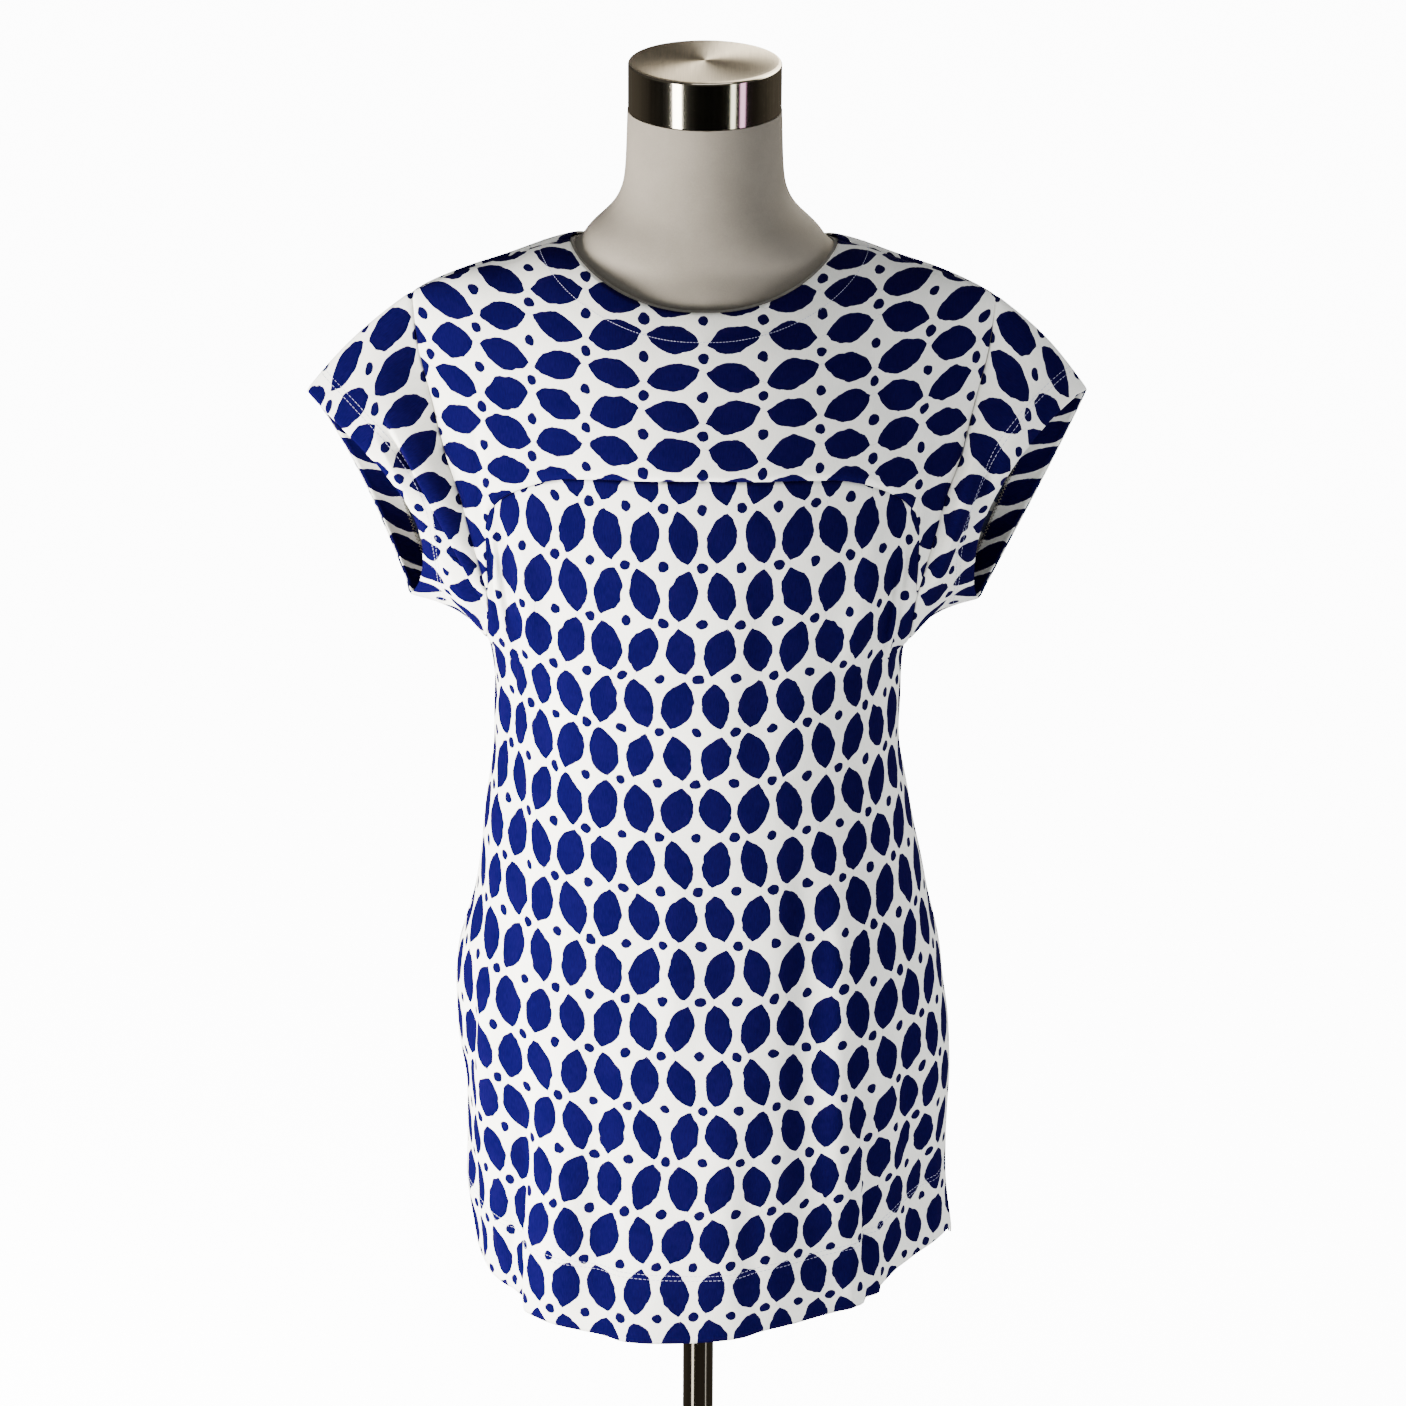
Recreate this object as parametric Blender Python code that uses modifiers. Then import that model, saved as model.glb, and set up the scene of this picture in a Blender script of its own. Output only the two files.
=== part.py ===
"""A printed cotton T-shirt worn by a limbless dress form on a steel pole.

Metres, +Z up. The front faces -Y and the origin is on the floor, at the centre of the base.
The cloth is a set of cut pieces: front, front yoke, back, two sleeves and a neck facing.
Each piece is an open surface worked out from the tables below, made a wall by Solidify.
"""
import math
from collections import namedtuple

import bmesh
import bpy
import numpy as np

COLLECTION = "t_shirt_on_dress_form"

# Cloth
WALL = 0.0012
SEAM_GAP = 0.0003
SHOULDER_GAP = 0.0008
FACING_WIDTH = 0.014
FACING_RISE = 0.0025
FACING_GAP = 0.0018

# Heights on the shirt
HEM_Z = 0.3136
UNDERARM_Z = 0.785
BUST_Z = 0.840
FRONT_HEM_DIP = 0.019
BACK_HEM_DIP = 0.010

# Neckline, an ellipse seen from above
NECK_HALF_WIDTH = 0.092
NECK_FRONT = 0.0695
NECK_BACK = 0.062

# How full the upper body is between bust level and the shoulder line
FRONT_DOME = 2.0
BACK_DOME = 2.5

# Folds fade this near a seam, and over these shares of their length at their ends. On the yoke
# they keep their full height over the part next to the inner seam.
FOLD_FADE = 0.016
FOLD_OVERRUN = 0.15
FOLD_END = 0.4
YOKE_FOLD_HOLD = 1.6

# Sleeves. The arch lifts the last part of a sleeve, next to the underarm.
SLEEVE_BULGE = 0.008
SLEEVE_TOP_BULGE = 0.004
SLEEVE_TOP_LEAN = 0.5
SLEEVE_UNDER_ARCH = 0.004
SLEEVE_ARCH_SHARE = 0.25
SLEEVE_GAP_TOP = 0.0007
SLEEVE_GAP_BOTTOM = 0.0012

# Dress form and stand
CAP_TOP_Z = 1.200
CAP_RADIUS = 0.0522
CAP_HEIGHT = 0.034
CAP_EDGE = 0.0025
CAP_DOME = 0.0006
FORM_BOTTOM_Z = 0.400
FORM_REST = 0.0012
FORM_NECK_REST = 0.0050
FORM_NECK_MARGIN = 0.0035
FORM_SLACK_LOW = 0.16
FORM_SLACK_HIGH = 0.06
FORM_NECK_REACH = 0.135
FORM_NECK_EASE = 0.020
FORM_CHEST_POWER = 8
FORM_BLEND_HEIGHT = 0.075
FORM_BLEND_POWER = 6.0
FORM_SHOULDER_Z = 1.02
FLANGE_RADIUS = 0.045
FLANGE_THICKNESS = 0.006
FLANGE_EDGE = 0.002
COLLAR_RADIUS = 0.0175
COLLAR_HEIGHT = 0.034
POLE_RADIUS = 0.01125
POLE_CLEARANCE = 0.0003
POLE_INSERT = 0.030
BASE_RADIUS = 0.150
BASE_THICKNESS = 0.010
BASE_EDGE = 0.003

# Mesh resolution
DENSE = 241
PANEL_COLUMNS = 32
LOWER_ROWS = 20
UNDERARM_ROWS = 4
CHEST_ROWS = 8
BACK_SHOULDER_COLUMNS = 9
BACK_NECK_COLUMNS = 14
BACK_LOWER_ROWS = 18
BACK_UPPER_ROWS = 8
BACK_EDGE_STEPS = (0.024, 0.010, 0.0)
YOKE_NECK_COLUMNS = 8
YOKE_SHARES = (0.0, 0.18, 0.36, 0.54, 0.70, 0.83, 0.93, 1.0)
SLEEVE_ROWS = 5
FORM_COLUMNS = 32
FORM_LOWER_ROWS = 7
FORM_CHEST_ROWS = 8
FORM_SHARP_ANGLE = math.radians(50.0)
COLUMN_CROWDING = 0.045
TURN_SCALE = 0.3
CORNER_STEPS = 4
FLANGE_STEPS = 2
ROUND_STEPS = 40
MERGE = 0.0001
TINY = 1e-9

# Sections of the body cloth from the hem to bust level. The depth of a side falls from its
# deepest point, at peak half-widths from the centre, to the side seams:
# depth * (1 - share ** power) ** edge, with right_edge in place of edge on the front's right.
Section = namedtuple("Section", "height centre half_width peak front back power edge right_edge")
SECTIONS = (
    Section(0.3136, 0.0112, 0.1737, -0.24, 0.138, 0.115, 2.0, 0.500, 0.85),
    Section(0.372, 0.0055, 0.1736, -0.14, 0.138, 0.114, 2.0, 0.500, 0.74),
    Section(0.436, 0.0060, 0.1738, -0.05, 0.135, 0.110, 2.1, 0.480, 0.58),
    Section(0.484, 0.0025, 0.1760, 0.00, 0.133, 0.107, 2.1, 0.476, 0.50),
    Section(0.531, -0.0005, 0.1734, 0.00, 0.130, 0.101, 2.1, 0.476, 0.476),
    Section(0.594, 0.0006, 0.1596, 0.00, 0.124, 0.091, 2.1, 0.476, 0.476),
    Section(0.656, -0.0022, 0.1498, 0.00, 0.120, 0.083, 2.1, 0.476, 0.476),
    Section(0.7175, -0.0035, 0.1423, 0.00, 0.120, 0.081, 2.1, 0.476, 0.476),
    Section(0.748, -0.0030, 0.1422, 0.00, 0.123, 0.084, 2.05, 0.488, 0.488),
    Section(0.785, -0.0035, 0.1460, 0.00, 0.127, 0.090, 2.0, 0.500, 0.500),
    Section(0.800, -0.0025, 0.1640, 0.00, 0.1275, 0.092, 2.0, 0.620, 0.620),
    Section(0.820, -0.0010, 0.1900, 0.00, 0.128, 0.096, 2.0, 0.820, 0.820),
    Section(0.840, 0.0000, 0.2150, 0.00, 0.128, 0.100, 2.0, 1.000, 1.000),
)

# The shoulder line, from the centre of the neck out to the armhole
Ridge = namedtuple("Ridge", "x height")
SHOULDER_LINE = (
    Ridge(0.000, 1.0825),
    Ridge(0.050, 1.0800),
    Ridge(0.092, 1.0735),
    Ridge(0.139, 1.0590),
    Ridge(0.170, 1.0485),
    Ridge(0.188, 1.0410),
    Ridge(0.200, 1.0345),
)

# The armhole seam seen from the front, from the underarm up to the shoulder
Seam = namedtuple("Seam", "height x")
ARMHOLE = (
    Seam(0.785, 0.1460),
    Seam(0.800, 0.1465),
    Seam(0.835, 0.1475),
    Seam(0.850, 0.1510),
    Seam(0.877, 0.1590),
    Seam(0.905, 0.1670),
    Seam(0.930, 0.1765),
    Seam(0.965, 0.1860),
    Seam(1.004, 0.1965),
    Seam(1.0345, 0.2000),
)

# The yoke seam seen from the front: across the chest, and down each side to the yoke's tail
YokeSeam = namedtuple("YokeSeam", "x height")
YOKE_ACROSS = (
    YokeSeam(0.000, 0.9400),
    YokeSeam(0.060, 0.9370),
    YokeSeam(0.090, 0.9335),
    YokeSeam(0.107, 0.9285),
    YokeSeam(0.122, 0.9210),
    YokeSeam(0.136, 0.9110),
    YokeSeam(0.146, 0.8990),
)
YokeSide = namedtuple("YokeSide", "height x")
YOKE_DOWN = (
    YokeSide(0.840, 0.1473),
    YokeSide(0.865, 0.1485),
    YokeSide(0.885, 0.1490),
    YokeSide(0.899, 0.1460),
)

# Cuffs: the ends of each opening, how far its front is scooped towards the body and how far
# down that scoop lies, how far its back swells out, and its depth to the front and the back
Cuff = namedtuple("Cuff", "top_x top_z bottom_x bottom_z scoop skew swell front back")
CUFFS = {
    "left": Cuff(0.2735, 0.9622, 0.2040, 0.8120, 0.034, 1.3, 0.002, 0.038, 0.042),
    "right": Cuff(0.2645, 0.9660, 0.1935, 0.8110, 0.030, 1.0, 0.010, 0.038, 0.042),
}
CUFF_FULLNESS = 0.7

# The largest folds, each a straight line seen from the front. A depth below zero is a trough.
Fold = namedtuple("Fold", "x0 z0 x1 z1 width depth")
FRONT_FOLDS = (
    Fold(-0.140, 0.905, -0.128, 0.800, 0.007, -0.004),
    Fold(-0.124, 0.880, -0.112, 0.790, 0.008, 0.003),
    Fold(-0.132, 0.760, -0.125, 0.610, 0.008, -0.004),
    Fold(-0.117, 0.800, -0.104, 0.690, 0.009, -0.003),
    Fold(-0.124, 0.470, -0.128, 0.300, 0.008, -0.006),
    Fold(-0.145, 0.560, -0.152, 0.400, 0.009, 0.005),
    Fold(-0.095, 0.430, -0.100, 0.290, 0.016, 0.005),
    Fold(0.135, 0.880, 0.118, 0.760, 0.008, -0.004),
    Fold(0.120, 0.900, 0.100, 0.800, 0.010, 0.003),
    Fold(0.078, 0.640, 0.088, 0.360, 0.018, -0.004),
    Fold(0.112, 0.520, 0.120, 0.330, 0.015, -0.004),
    Fold(0.100, 0.600, 0.104, 0.330, 0.016, 0.004),
    Fold(0.150, 0.500, 0.158, 0.310, 0.010, -0.004),
    Fold(0.020, 0.560, 0.028, 0.300, 0.030, 0.003),
)
BACK_FOLDS = (
    Fold(-0.130, 0.870, -0.090, 0.740, 0.012, -0.004),
    Fold(-0.100, 0.620, -0.112, 0.320, 0.016, -0.006),
    Fold(-0.045, 0.600, -0.050, 0.310, 0.020, 0.005),
    Fold(0.015, 0.640, 0.020, 0.310, 0.018, -0.006),
    Fold(0.070, 0.590, 0.078, 0.310, 0.018, 0.005),
    Fold(0.118, 0.640, 0.132, 0.320, 0.014, -0.006),
    Fold(0.128, 0.870, 0.092, 0.740, 0.012, -0.004),
)

# Dress form below bust level, inside the cloth. The upper body follows the cloth's own line.
FormRing = namedtuple("FormRing", "height half_width front back power")
FORM_RINGS = (
    FormRing(0.400, 0.148, 0.108, 0.088, 2.20),
    FormRing(0.450, 0.152, 0.112, 0.092, 2.20),
    FormRing(0.520, 0.150, 0.112, 0.090, 2.20),
    FormRing(0.600, 0.138, 0.102, 0.076, 2.15),
    FormRing(0.680, 0.122, 0.096, 0.062, 2.10),
    FormRing(0.740, 0.122, 0.102, 0.066, 2.05),
    FormRing(0.785, 0.132, 0.110, 0.072, 2.00),
)
# Side line of the form from the underarm, over the rounded arm stump, to the neck
FormSide = namedtuple("FormSide", "height half_width")
FORM_SIDE = (
    FormSide(0.785, 0.1320),
    FormSide(0.830, 0.1380),
    FormSide(0.880, 0.1480),
    FormSide(0.940, 0.1600),
    FormSide(1.000, 0.1690),
    FormSide(1.0275, 0.1695),
    FormSide(1.0405, 0.1680),
    FormSide(1.0475, 0.1635),
    FormSide(1.0515, 0.1580),
    FormSide(1.0559, 0.1450),
    FormSide(1.0586, 0.1350),
    FormSide(1.0620, 0.1150),
    FormSide(1.0660, 0.0960),
    FormSide(1.0700, 0.0865),
    FormSide(1.0750, 0.0835),
    FormSide(1.0830, 0.0785),
    FormSide(1.0900, 0.0700),
    FormSide(1.1000, 0.0608),
    FormSide(1.1150, 0.0552),
    FormSide(1.1300, 0.0537),
    FormSide(1.1657, 0.0525),
)
# The neck's own section, which takes over from the chest at the neckline
NeckRing = namedtuple("NeckRing", "height half_width front back")
NECK_RINGS = (
    NeckRing(0.980, 0.0480, 0.0300, 0.0300),
    NeckRing(1.030, 0.0540, 0.0560, 0.0480),
    NeckRing(1.058, 0.0690, 0.0585, 0.0520),
    NeckRing(1.068, 0.0830, 0.0575, 0.0540),
    NeckRing(1.071, 0.1100, 0.0575, 0.0550),
    NeckRing(1.100, 0.1100, 0.0550, 0.0545),
    NeckRing(1.130, 0.1100, 0.0535, 0.0535),
    NeckRing(1.1657, 0.1100, 0.0525, 0.0525),
)

# Plain colours of the slots
Look = namedtuple("Look", "slot colour roughness metallic")
LOOKS = (
    Look("printed_cotton", (0.10, 0.16, 0.50), 0.85, 0.0),
    Look("facing_jersey", (0.45, 0.46, 0.50), 0.90, 0.0),
    Look("form_cover", (0.60, 0.58, 0.54), 0.70, 0.0),
    Look("polished_steel", (0.30, 0.30, 0.31), 0.25, 1.0),
)


def smooth(table, name, at):
    """Read one column of a table at any place in its first column, without overshoot."""
    place_name = table[0]._fields[0]
    places = np.array([getattr(row, place_name) for row in table])
    values = np.array([getattr(row, name) for row in table])
    steps = np.diff(values) / np.diff(places)
    slopes = np.zeros(len(places))
    slopes[0] = steps[0]
    slopes[-1] = steps[-1]
    product = steps[:-1] * steps[1:]
    total = np.where(product > 0, steps[:-1] + steps[1:], 1.0)
    slopes[1:-1] = np.where(product > 0, 2.0 * product / total, 0.0)
    at = np.clip(np.asarray(at, float), places[0], places[-1])
    k = np.clip(np.searchsorted(places, at, side="right") - 1, 0, len(places) - 2)
    span = places[k + 1] - places[k]
    t = (at - places[k]) / span
    rise = t * t * (3.0 - 2.0 * t)
    start_bend = t * (1.0 - t) ** 2 * span * slopes[k]
    end_bend = t * t * (t - 1.0) * span * slopes[k + 1]
    return values[k] + (values[k + 1] - values[k]) * rise + start_bend + end_bend


def smoothstep(t):
    """Ease from 0 to 1."""
    t = np.clip(t, 0.0, 1.0)
    return t * t * (3.0 - 2.0 * t)


def shoulder_z(x):
    """Height of the shoulder line at a distance from the centre."""
    return smooth(SHOULDER_LINE, "height", np.abs(x))


def armhole_x(z):
    """Distance of the armhole seam from the centre at a height."""
    return smooth(ARMHOLE, "x", z)


def dome(side):
    """Fullness of the upper body on one side."""
    return FRONT_DOME if side == "front" else BACK_DOME


def outward(side):
    """Sign of y on one side of the shirt."""
    return -1.0 if side == "front" else 1.0


def bust_depth(side, x):
    """Depth of the cloth at bust level."""
    last = SECTIONS[-1]
    ratio = np.clip(np.abs(x) / last.half_width, 0.0, 1.0)
    return getattr(last, side) * (1.0 - ratio**last.power) ** last.edge


def upper_point(side, x, turn):
    """Cloth above bust level: turn is 1 at bust level and 0 at the shoulder line."""
    angle = 0.5 * math.pi * np.clip(turn, 0.0, 1.0)
    power = 2.0 / dome(side)
    y = outward(side) * bust_depth(side, x) * np.sin(angle) ** power
    z = BUST_Z + (shoulder_z(x) - BUST_Z) * np.cos(angle) ** power
    return np.stack([x + 0.0 * y, y, z], axis=-1)


def turn_at_height(side, x, z):
    """Turn of the upper cloth at a height."""
    ratio = np.clip((z - BUST_Z) / (shoulder_z(x) - BUST_Z), 0.0, 1.0)
    return np.arccos(np.clip(ratio ** (dome(side) / 2.0), 0.0, 1.0)) / (0.5 * math.pi)


def turn_at_depth(side, x, depth):
    """Turn of the upper cloth at a depth in front of or behind the shoulder line."""
    ratio = np.clip(depth / np.maximum(bust_depth(side, x), 1e-6), 0.0, 1.0)
    return np.arcsin(np.clip(ratio ** (dome(side) / 2.0), 0.0, 1.0)) / (0.5 * math.pi)


def resample(points, fractions, trim=0.0):
    """Points at the given fractions of a line's length, after trimming both its ends."""
    lengths = np.linalg.norm(np.diff(points, axis=0), axis=1)
    along = np.concatenate([[0.0], np.cumsum(lengths)])
    wanted = trim + np.asarray(fractions) * (along[-1] - 2.0 * trim)
    return np.stack([np.interp(wanted, along, points[:, k]) for k in range(3)], axis=1)


def lower_row(side, height):
    """The cloth at one height up to bust level, from its left edge to its right edge."""
    row = {name: float(smooth(SECTIONS, name, height)) for name in Section._fields[1:]}
    start = 0.0
    if height > UNDERARM_Z:
        start = math.acos(min(1.0, float(armhole_x(height)) / row["half_width"]))
    angle = np.linspace(math.pi - start, start, DENSE)
    place = np.cos(angle)
    peak = row["peak"] if side == "front" else 0.0
    right = place > peak
    share = np.where(right, (place - peak) / (1.0 - peak), (peak - place) / (1.0 + peak))
    edge = np.where(right & (side == "front"), row["right_edge"], row["edge"])
    y = outward(side) * row[side] * np.clip(1.0 - share ** row["power"], 0.0, 1.0) ** edge
    dip = FRONT_HEM_DIP if side == "front" else BACK_HEM_DIP
    lowness = np.clip((UNDERARM_Z - height) / (UNDERARM_Z - HEM_Z), 0.0, 1.0)
    z = height - dip * (np.sin(angle) * lowness) ** 2
    return np.stack([row["centre"] + row["half_width"] * place, y, z], axis=1)


def chest_row(rise):
    """Front cloth between bust level, at 0, and the yoke seam, at 1."""
    corner = YOKE_DOWN[-1]
    edge_z = BUST_Z + rise * (corner.height - BUST_Z)
    edge_x = float(smooth(YOKE_DOWN, "x", edge_z))
    x = np.linspace(-edge_x, edge_x, DENSE)
    seam_z = smooth(YOKE_ACROSS, "height", np.abs(x) * corner.x / edge_x)
    z = BUST_Z + rise * (seam_z - BUST_Z)
    return upper_point("front", x, turn_at_height("front", x, z))


def column_fractions(count):
    """Places of the columns across a panel, closer together towards the sides."""
    t = np.linspace(0.0, 1.0, count + 1)
    return t - COLUMN_CROWDING * np.sin(2.0 * math.pi * t)


def grid_normals(grid, side):
    """Unit normals of a grid, pointing out of the shirt."""
    across = np.gradient(grid, axis=1)
    up = np.gradient(grid, axis=0)
    normals = np.cross(across, up)
    normals /= np.maximum(np.linalg.norm(normals, axis=2, keepdims=True), TINY)
    return normals * (1.0 if side == "front" else -1.0)


def fold_height(folds, x, z):
    """How far the folds stand out of the cloth at each point seen from the front."""
    height = np.zeros(x.shape)
    for fold in folds:
        run = np.array([fold.x1 - fold.x0, fold.z1 - fold.z0])
        length = np.linalg.norm(run)
        run /= length
        along = ((x - fold.x0) * run[0] + (z - fold.z0) * run[1]) / length
        away = (x - fold.x0) * run[1] - (z - fold.z0) * run[0]
        start = smoothstep((along + FOLD_OVERRUN) / FOLD_END)
        stop = smoothstep((1.0 + FOLD_OVERRUN - along) / FOLD_END)
        height += fold.depth * start * stop * np.exp(-((away / fold.width) ** 2))
    return height


def add_folds(grid, side, folds, fade):
    """Move a grid's points out by its folds, which fade where fade is 0."""
    height = fold_height(folds, grid[..., 0], grid[..., 2])
    return grid + grid_normals(grid, side) * (height * fade)[..., None]


def side_fade(grid):
    """0 at the two sides of a grid of rows and 1 away from them."""
    steps = np.linalg.norm(np.diff(grid, axis=1), axis=2)
    along = np.concatenate([np.zeros((len(grid), 1)), np.cumsum(steps, axis=1)], axis=1)
    nearest = np.minimum(along, along[:, -1:] - along)
    return smoothstep(nearest / FOLD_FADE)


def body_rows(side, lower_rows, fractions):
    """Rows of a body panel from the hem to bust level."""
    heights = list(np.linspace(HEM_Z, UNDERARM_Z, lower_rows + 1))
    heights += list(np.linspace(UNDERARM_Z, BUST_Z, UNDERARM_ROWS + 1)[1:])
    return [resample(lower_row(side, height), fractions, SEAM_GAP / 2.0) for height in heights]


def front_grid():
    """Rows of the front, from the hem to the yoke seam, without folds."""
    fractions = column_fractions(PANEL_COLUMNS)
    rows = body_rows("front", LOWER_ROWS, fractions)
    for rise in np.linspace(0.0, 1.0, CHEST_ROWS + 1)[1:]:
        rows.append(resample(chest_row(rise), fractions, SEAM_GAP / 2.0))
    return np.array(rows)


def even_stretch(line, count):
    """Evenly spaced points along a line of x and turn."""
    steps = np.linalg.norm(np.diff(line * np.array([1.0, TURN_SCALE]), axis=0), axis=1)
    along = np.concatenate([[0.0], np.cumsum(steps)]) / steps.sum()
    wanted = np.linspace(0.0, 1.0, count + 1)
    return np.stack([np.interp(wanted, along, line[:, k]) for k in (0, 1)], axis=1)


def neckline(side, count):
    """Right half of the neckline as x and turn, from the centre to the shoulder seam."""
    depth = NECK_FRONT if side == "front" else NECK_BACK
    angle = np.linspace(0.5 * math.pi, 0.0, DENSE)
    x = NECK_HALF_WIDTH * np.cos(angle)
    along = np.maximum(depth * np.sin(angle), SHOULDER_GAP / 2.0)
    return even_stretch(np.stack([x, turn_at_depth(side, x, along)], axis=1), count)


def shoulder_seam(side, count):
    """Right shoulder seam as x and turn, from the neckline to the armhole."""
    x = np.linspace(NECK_HALF_WIDTH, ARMHOLE[-1].x - SEAM_GAP / 2.0, count + 1)
    return np.stack([x, turn_at_depth(side, x, SHOULDER_GAP / 2.0)], axis=1)


def armhole_edge(side, low, count):
    """Right armhole edge as x and turn, from the shoulder down to a height."""
    z = np.linspace(ARMHOLE[-1].height, low, DENSE)
    x = armhole_x(z) - SEAM_GAP / 2.0
    turn = np.maximum(turn_at_height(side, x, z), turn_at_depth(side, x, SHOULDER_GAP / 2.0))
    return even_stretch(np.stack([x, turn], axis=1), count)


def mirrored(line):
    """A line from the centre to the right side, made to run from left to right."""
    return np.concatenate([(line * np.array([-1.0, 1.0]))[::-1], line[1:]])


def back_grid():
    """Rows of the back, from the hem to the shoulder seams and the neckline, without folds."""
    columns = 2 * BACK_SHOULDER_COLUMNS + BACK_NECK_COLUMNS
    rows = body_rows("back", BACK_LOWER_ROWS, column_fractions(columns))
    bust_x = rows[-1][:, 0]
    neck = neckline("back", BACK_NECK_COLUMNS // 2)
    top = mirrored(np.concatenate([neck, shoulder_seam("back", BACK_SHOULDER_COLUMNS)[1:]]))
    edge = armhole_edge("back", BUST_Z, DENSE)
    centre_turn = np.linspace(1.0, neck[0, 1], DENSE)
    centre = upper_point("back", np.zeros(DENSE), centre_turn)
    steps = np.linalg.norm(np.diff(centre, axis=0), axis=1)
    along = np.concatenate([[0.0], np.cumsum(steps)])
    places = np.linspace(0.0, along[-1] - BACK_EDGE_STEPS[0], BACK_UPPER_ROWS)[1:-1]
    places = [*places, *(along[-1] - step for step in BACK_EDGE_STEPS)]
    climbs = np.interp(places, along, np.linspace(0.0, 1.0, DENSE))
    for climb in climbs:
        edge_turn = 1.0 + (edge[0, 1] - 1.0) * climb
        edge_x = float(np.interp(edge_turn, edge[:, 1], edge[:, 0]))
        mixed = (1.0 - climb) * bust_x + climb * top[:, 0]
        x = mixed * edge_x / np.abs(mixed).max()
        rows.append(upper_point("back", x, 1.0 - (1.0 - top[:, 1]) * climb))
    return np.array(rows)


def yoke_grid(front):
    """Rows of the yoke, from the front's upper edge out to the armholes, shoulders and neck."""
    bust_row = LOWER_ROWS + UNDERARM_ROWS
    middle = PANEL_COLUMNS // 2
    across = front[-1, middle:]
    down = front[bust_row + 1 : -1, -1][::-1]
    seam = np.concatenate([across, down])[:, [0, 2]]
    direction = np.gradient(seam, axis=0)
    direction /= np.linalg.norm(direction, axis=1, keepdims=True)
    seam = seam + SEAM_GAP * np.stack([-direction[:, 1], direction[:, 0]], axis=1)
    seam[0, 0] = 0.0
    inner = np.stack([seam[:, 0], turn_at_height("front", seam[:, 0], seam[:, 1])], axis=1)
    tail_z = front[bust_row + 1, -1, 2]
    outer = np.concatenate([
        neckline("front", YOKE_NECK_COLUMNS),
        shoulder_seam("front", middle - YOKE_NECK_COLUMNS)[1:],
        armhole_edge("front", tail_z, len(down))[1:]])
    inner = mirrored(inner)
    outer = mirrored(outer)
    rows = []
    for share in YOKE_SHARES:
        place = inner + (outer - inner) * share
        rows.append(upper_point("front", place[:, 0], place[:, 1]))
    return np.array(rows)


def front_panel(front):
    """The front with its folds."""
    return add_folds(front, "front", FRONT_FOLDS, side_fade(front))


def back_panel(back):
    """The back with its folds."""
    return add_folds(back, "back", BACK_FOLDS, side_fade(back))


def front_yoke(yoke):
    """The yoke with its folds, which fade towards its outer edge."""
    share = np.array(YOKE_SHARES)[:, None] * np.ones(yoke.shape[:2])
    return add_folds(yoke, "front", FRONT_FOLDS, smoothstep(YOKE_FOLD_HOLD * (1.0 - share)))


def armhole_loop(front, yoke, back):
    """The right armhole from the shoulder, down the front and up the back to the shoulder."""
    bust_row = LOWER_ROWS + UNDERARM_ROWS
    columns = CHEST_ROWS - 1
    top = 0.5 * (yoke[-1, -1 - columns] + back[-1, -1])
    bottom = 0.5 * (front[LOWER_ROWS, -1] + back[BACK_LOWER_ROWS, -1])
    front_side = [*yoke[-1, -columns:], *front[LOWER_ROWS + 1 : bust_row + 1, -1][::-1]]
    back_side = list(back[BACK_LOWER_ROWS + 1 : -1, -1])
    return np.array([top, *front_side, bottom, *back_side]), len(front_side) + 1


def cuff_point(side, cuff, share):
    """A point of a right cuff, at a share of the way from its top to its bottom."""
    top = np.array([cuff.top_x, 0.0, cuff.top_z])
    bottom = np.array([cuff.bottom_x, 0.0, cuff.bottom_z])
    chord = (bottom - top) / np.linalg.norm(bottom - top)
    inward = np.array([chord[2], 0.0, -chord[0]])
    swell = max(0.0, math.sin(math.pi * share)) ** CUFF_FULLNESS
    skewed = max(0.0, math.sin(math.pi * share**cuff.skew)) ** CUFF_FULLNESS
    point = top + (bottom - top) * share
    if side == "front":
        return point + inward * cuff.scoop * skewed - np.array([0.0, cuff.front * swell, 0.0])
    return point - inward * cuff.swell * swell + np.array([0.0, cuff.back * swell, 0.0])


def sleeve(hand, front, yoke, back):
    """Rings of a sleeve, from its armhole seam to its cuff."""
    if hand == "left":
        mirror = np.array([-1.0, 1.0, 1.0])
        front, yoke, back = (grid[:, ::-1] * mirror for grid in (front, yoke, back))
    loop, bottom = armhole_loop(front, yoke, back)
    closed = np.concatenate([loop, loop[:1]])
    steps = np.linalg.norm(np.diff(closed, axis=0), axis=1)
    along = np.concatenate([[0.0], np.cumsum(steps)])
    rows = [[] for _ in range(SLEEVE_ROWS + 1)]
    for k, start in enumerate(loop):
        side = "front" if k <= bottom else "back"
        share = along[k] / along[bottom]
        if side == "back":
            share = (along[-1] - along[k]) / (along[-1] - along[bottom])
        end = cuff_point(side, CUFFS[hand], share)
        direction = (end - start) / np.linalg.norm(end - start)
        gap = SLEEVE_GAP_TOP + (SLEEVE_GAP_BOTTOM - SLEEVE_GAP_TOP) * share**2
        start = start + direction * gap
        lift = SLEEVE_TOP_BULGE * math.cos(0.5 * math.pi * share) ** 2
        swell = outward(side) * SLEEVE_BULGE * math.sin(math.pi * share)
        arch = SLEEVE_UNDER_ARCH * smoothstep((share - 1.0) / SLEEVE_ARCH_SHARE + 1.0)
        bulge = np.array([SLEEVE_TOP_LEAN * lift, swell, lift + arch])
        for row, t in zip(rows, np.linspace(0.0, 1.0, SLEEVE_ROWS + 1)):
            row.append(start + (end - start) * t + bulge * math.sin(math.pi * t))
    grid = np.array(rows)
    if hand == "left":
        grid[..., 0] *= -1.0
    return grid


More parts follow.
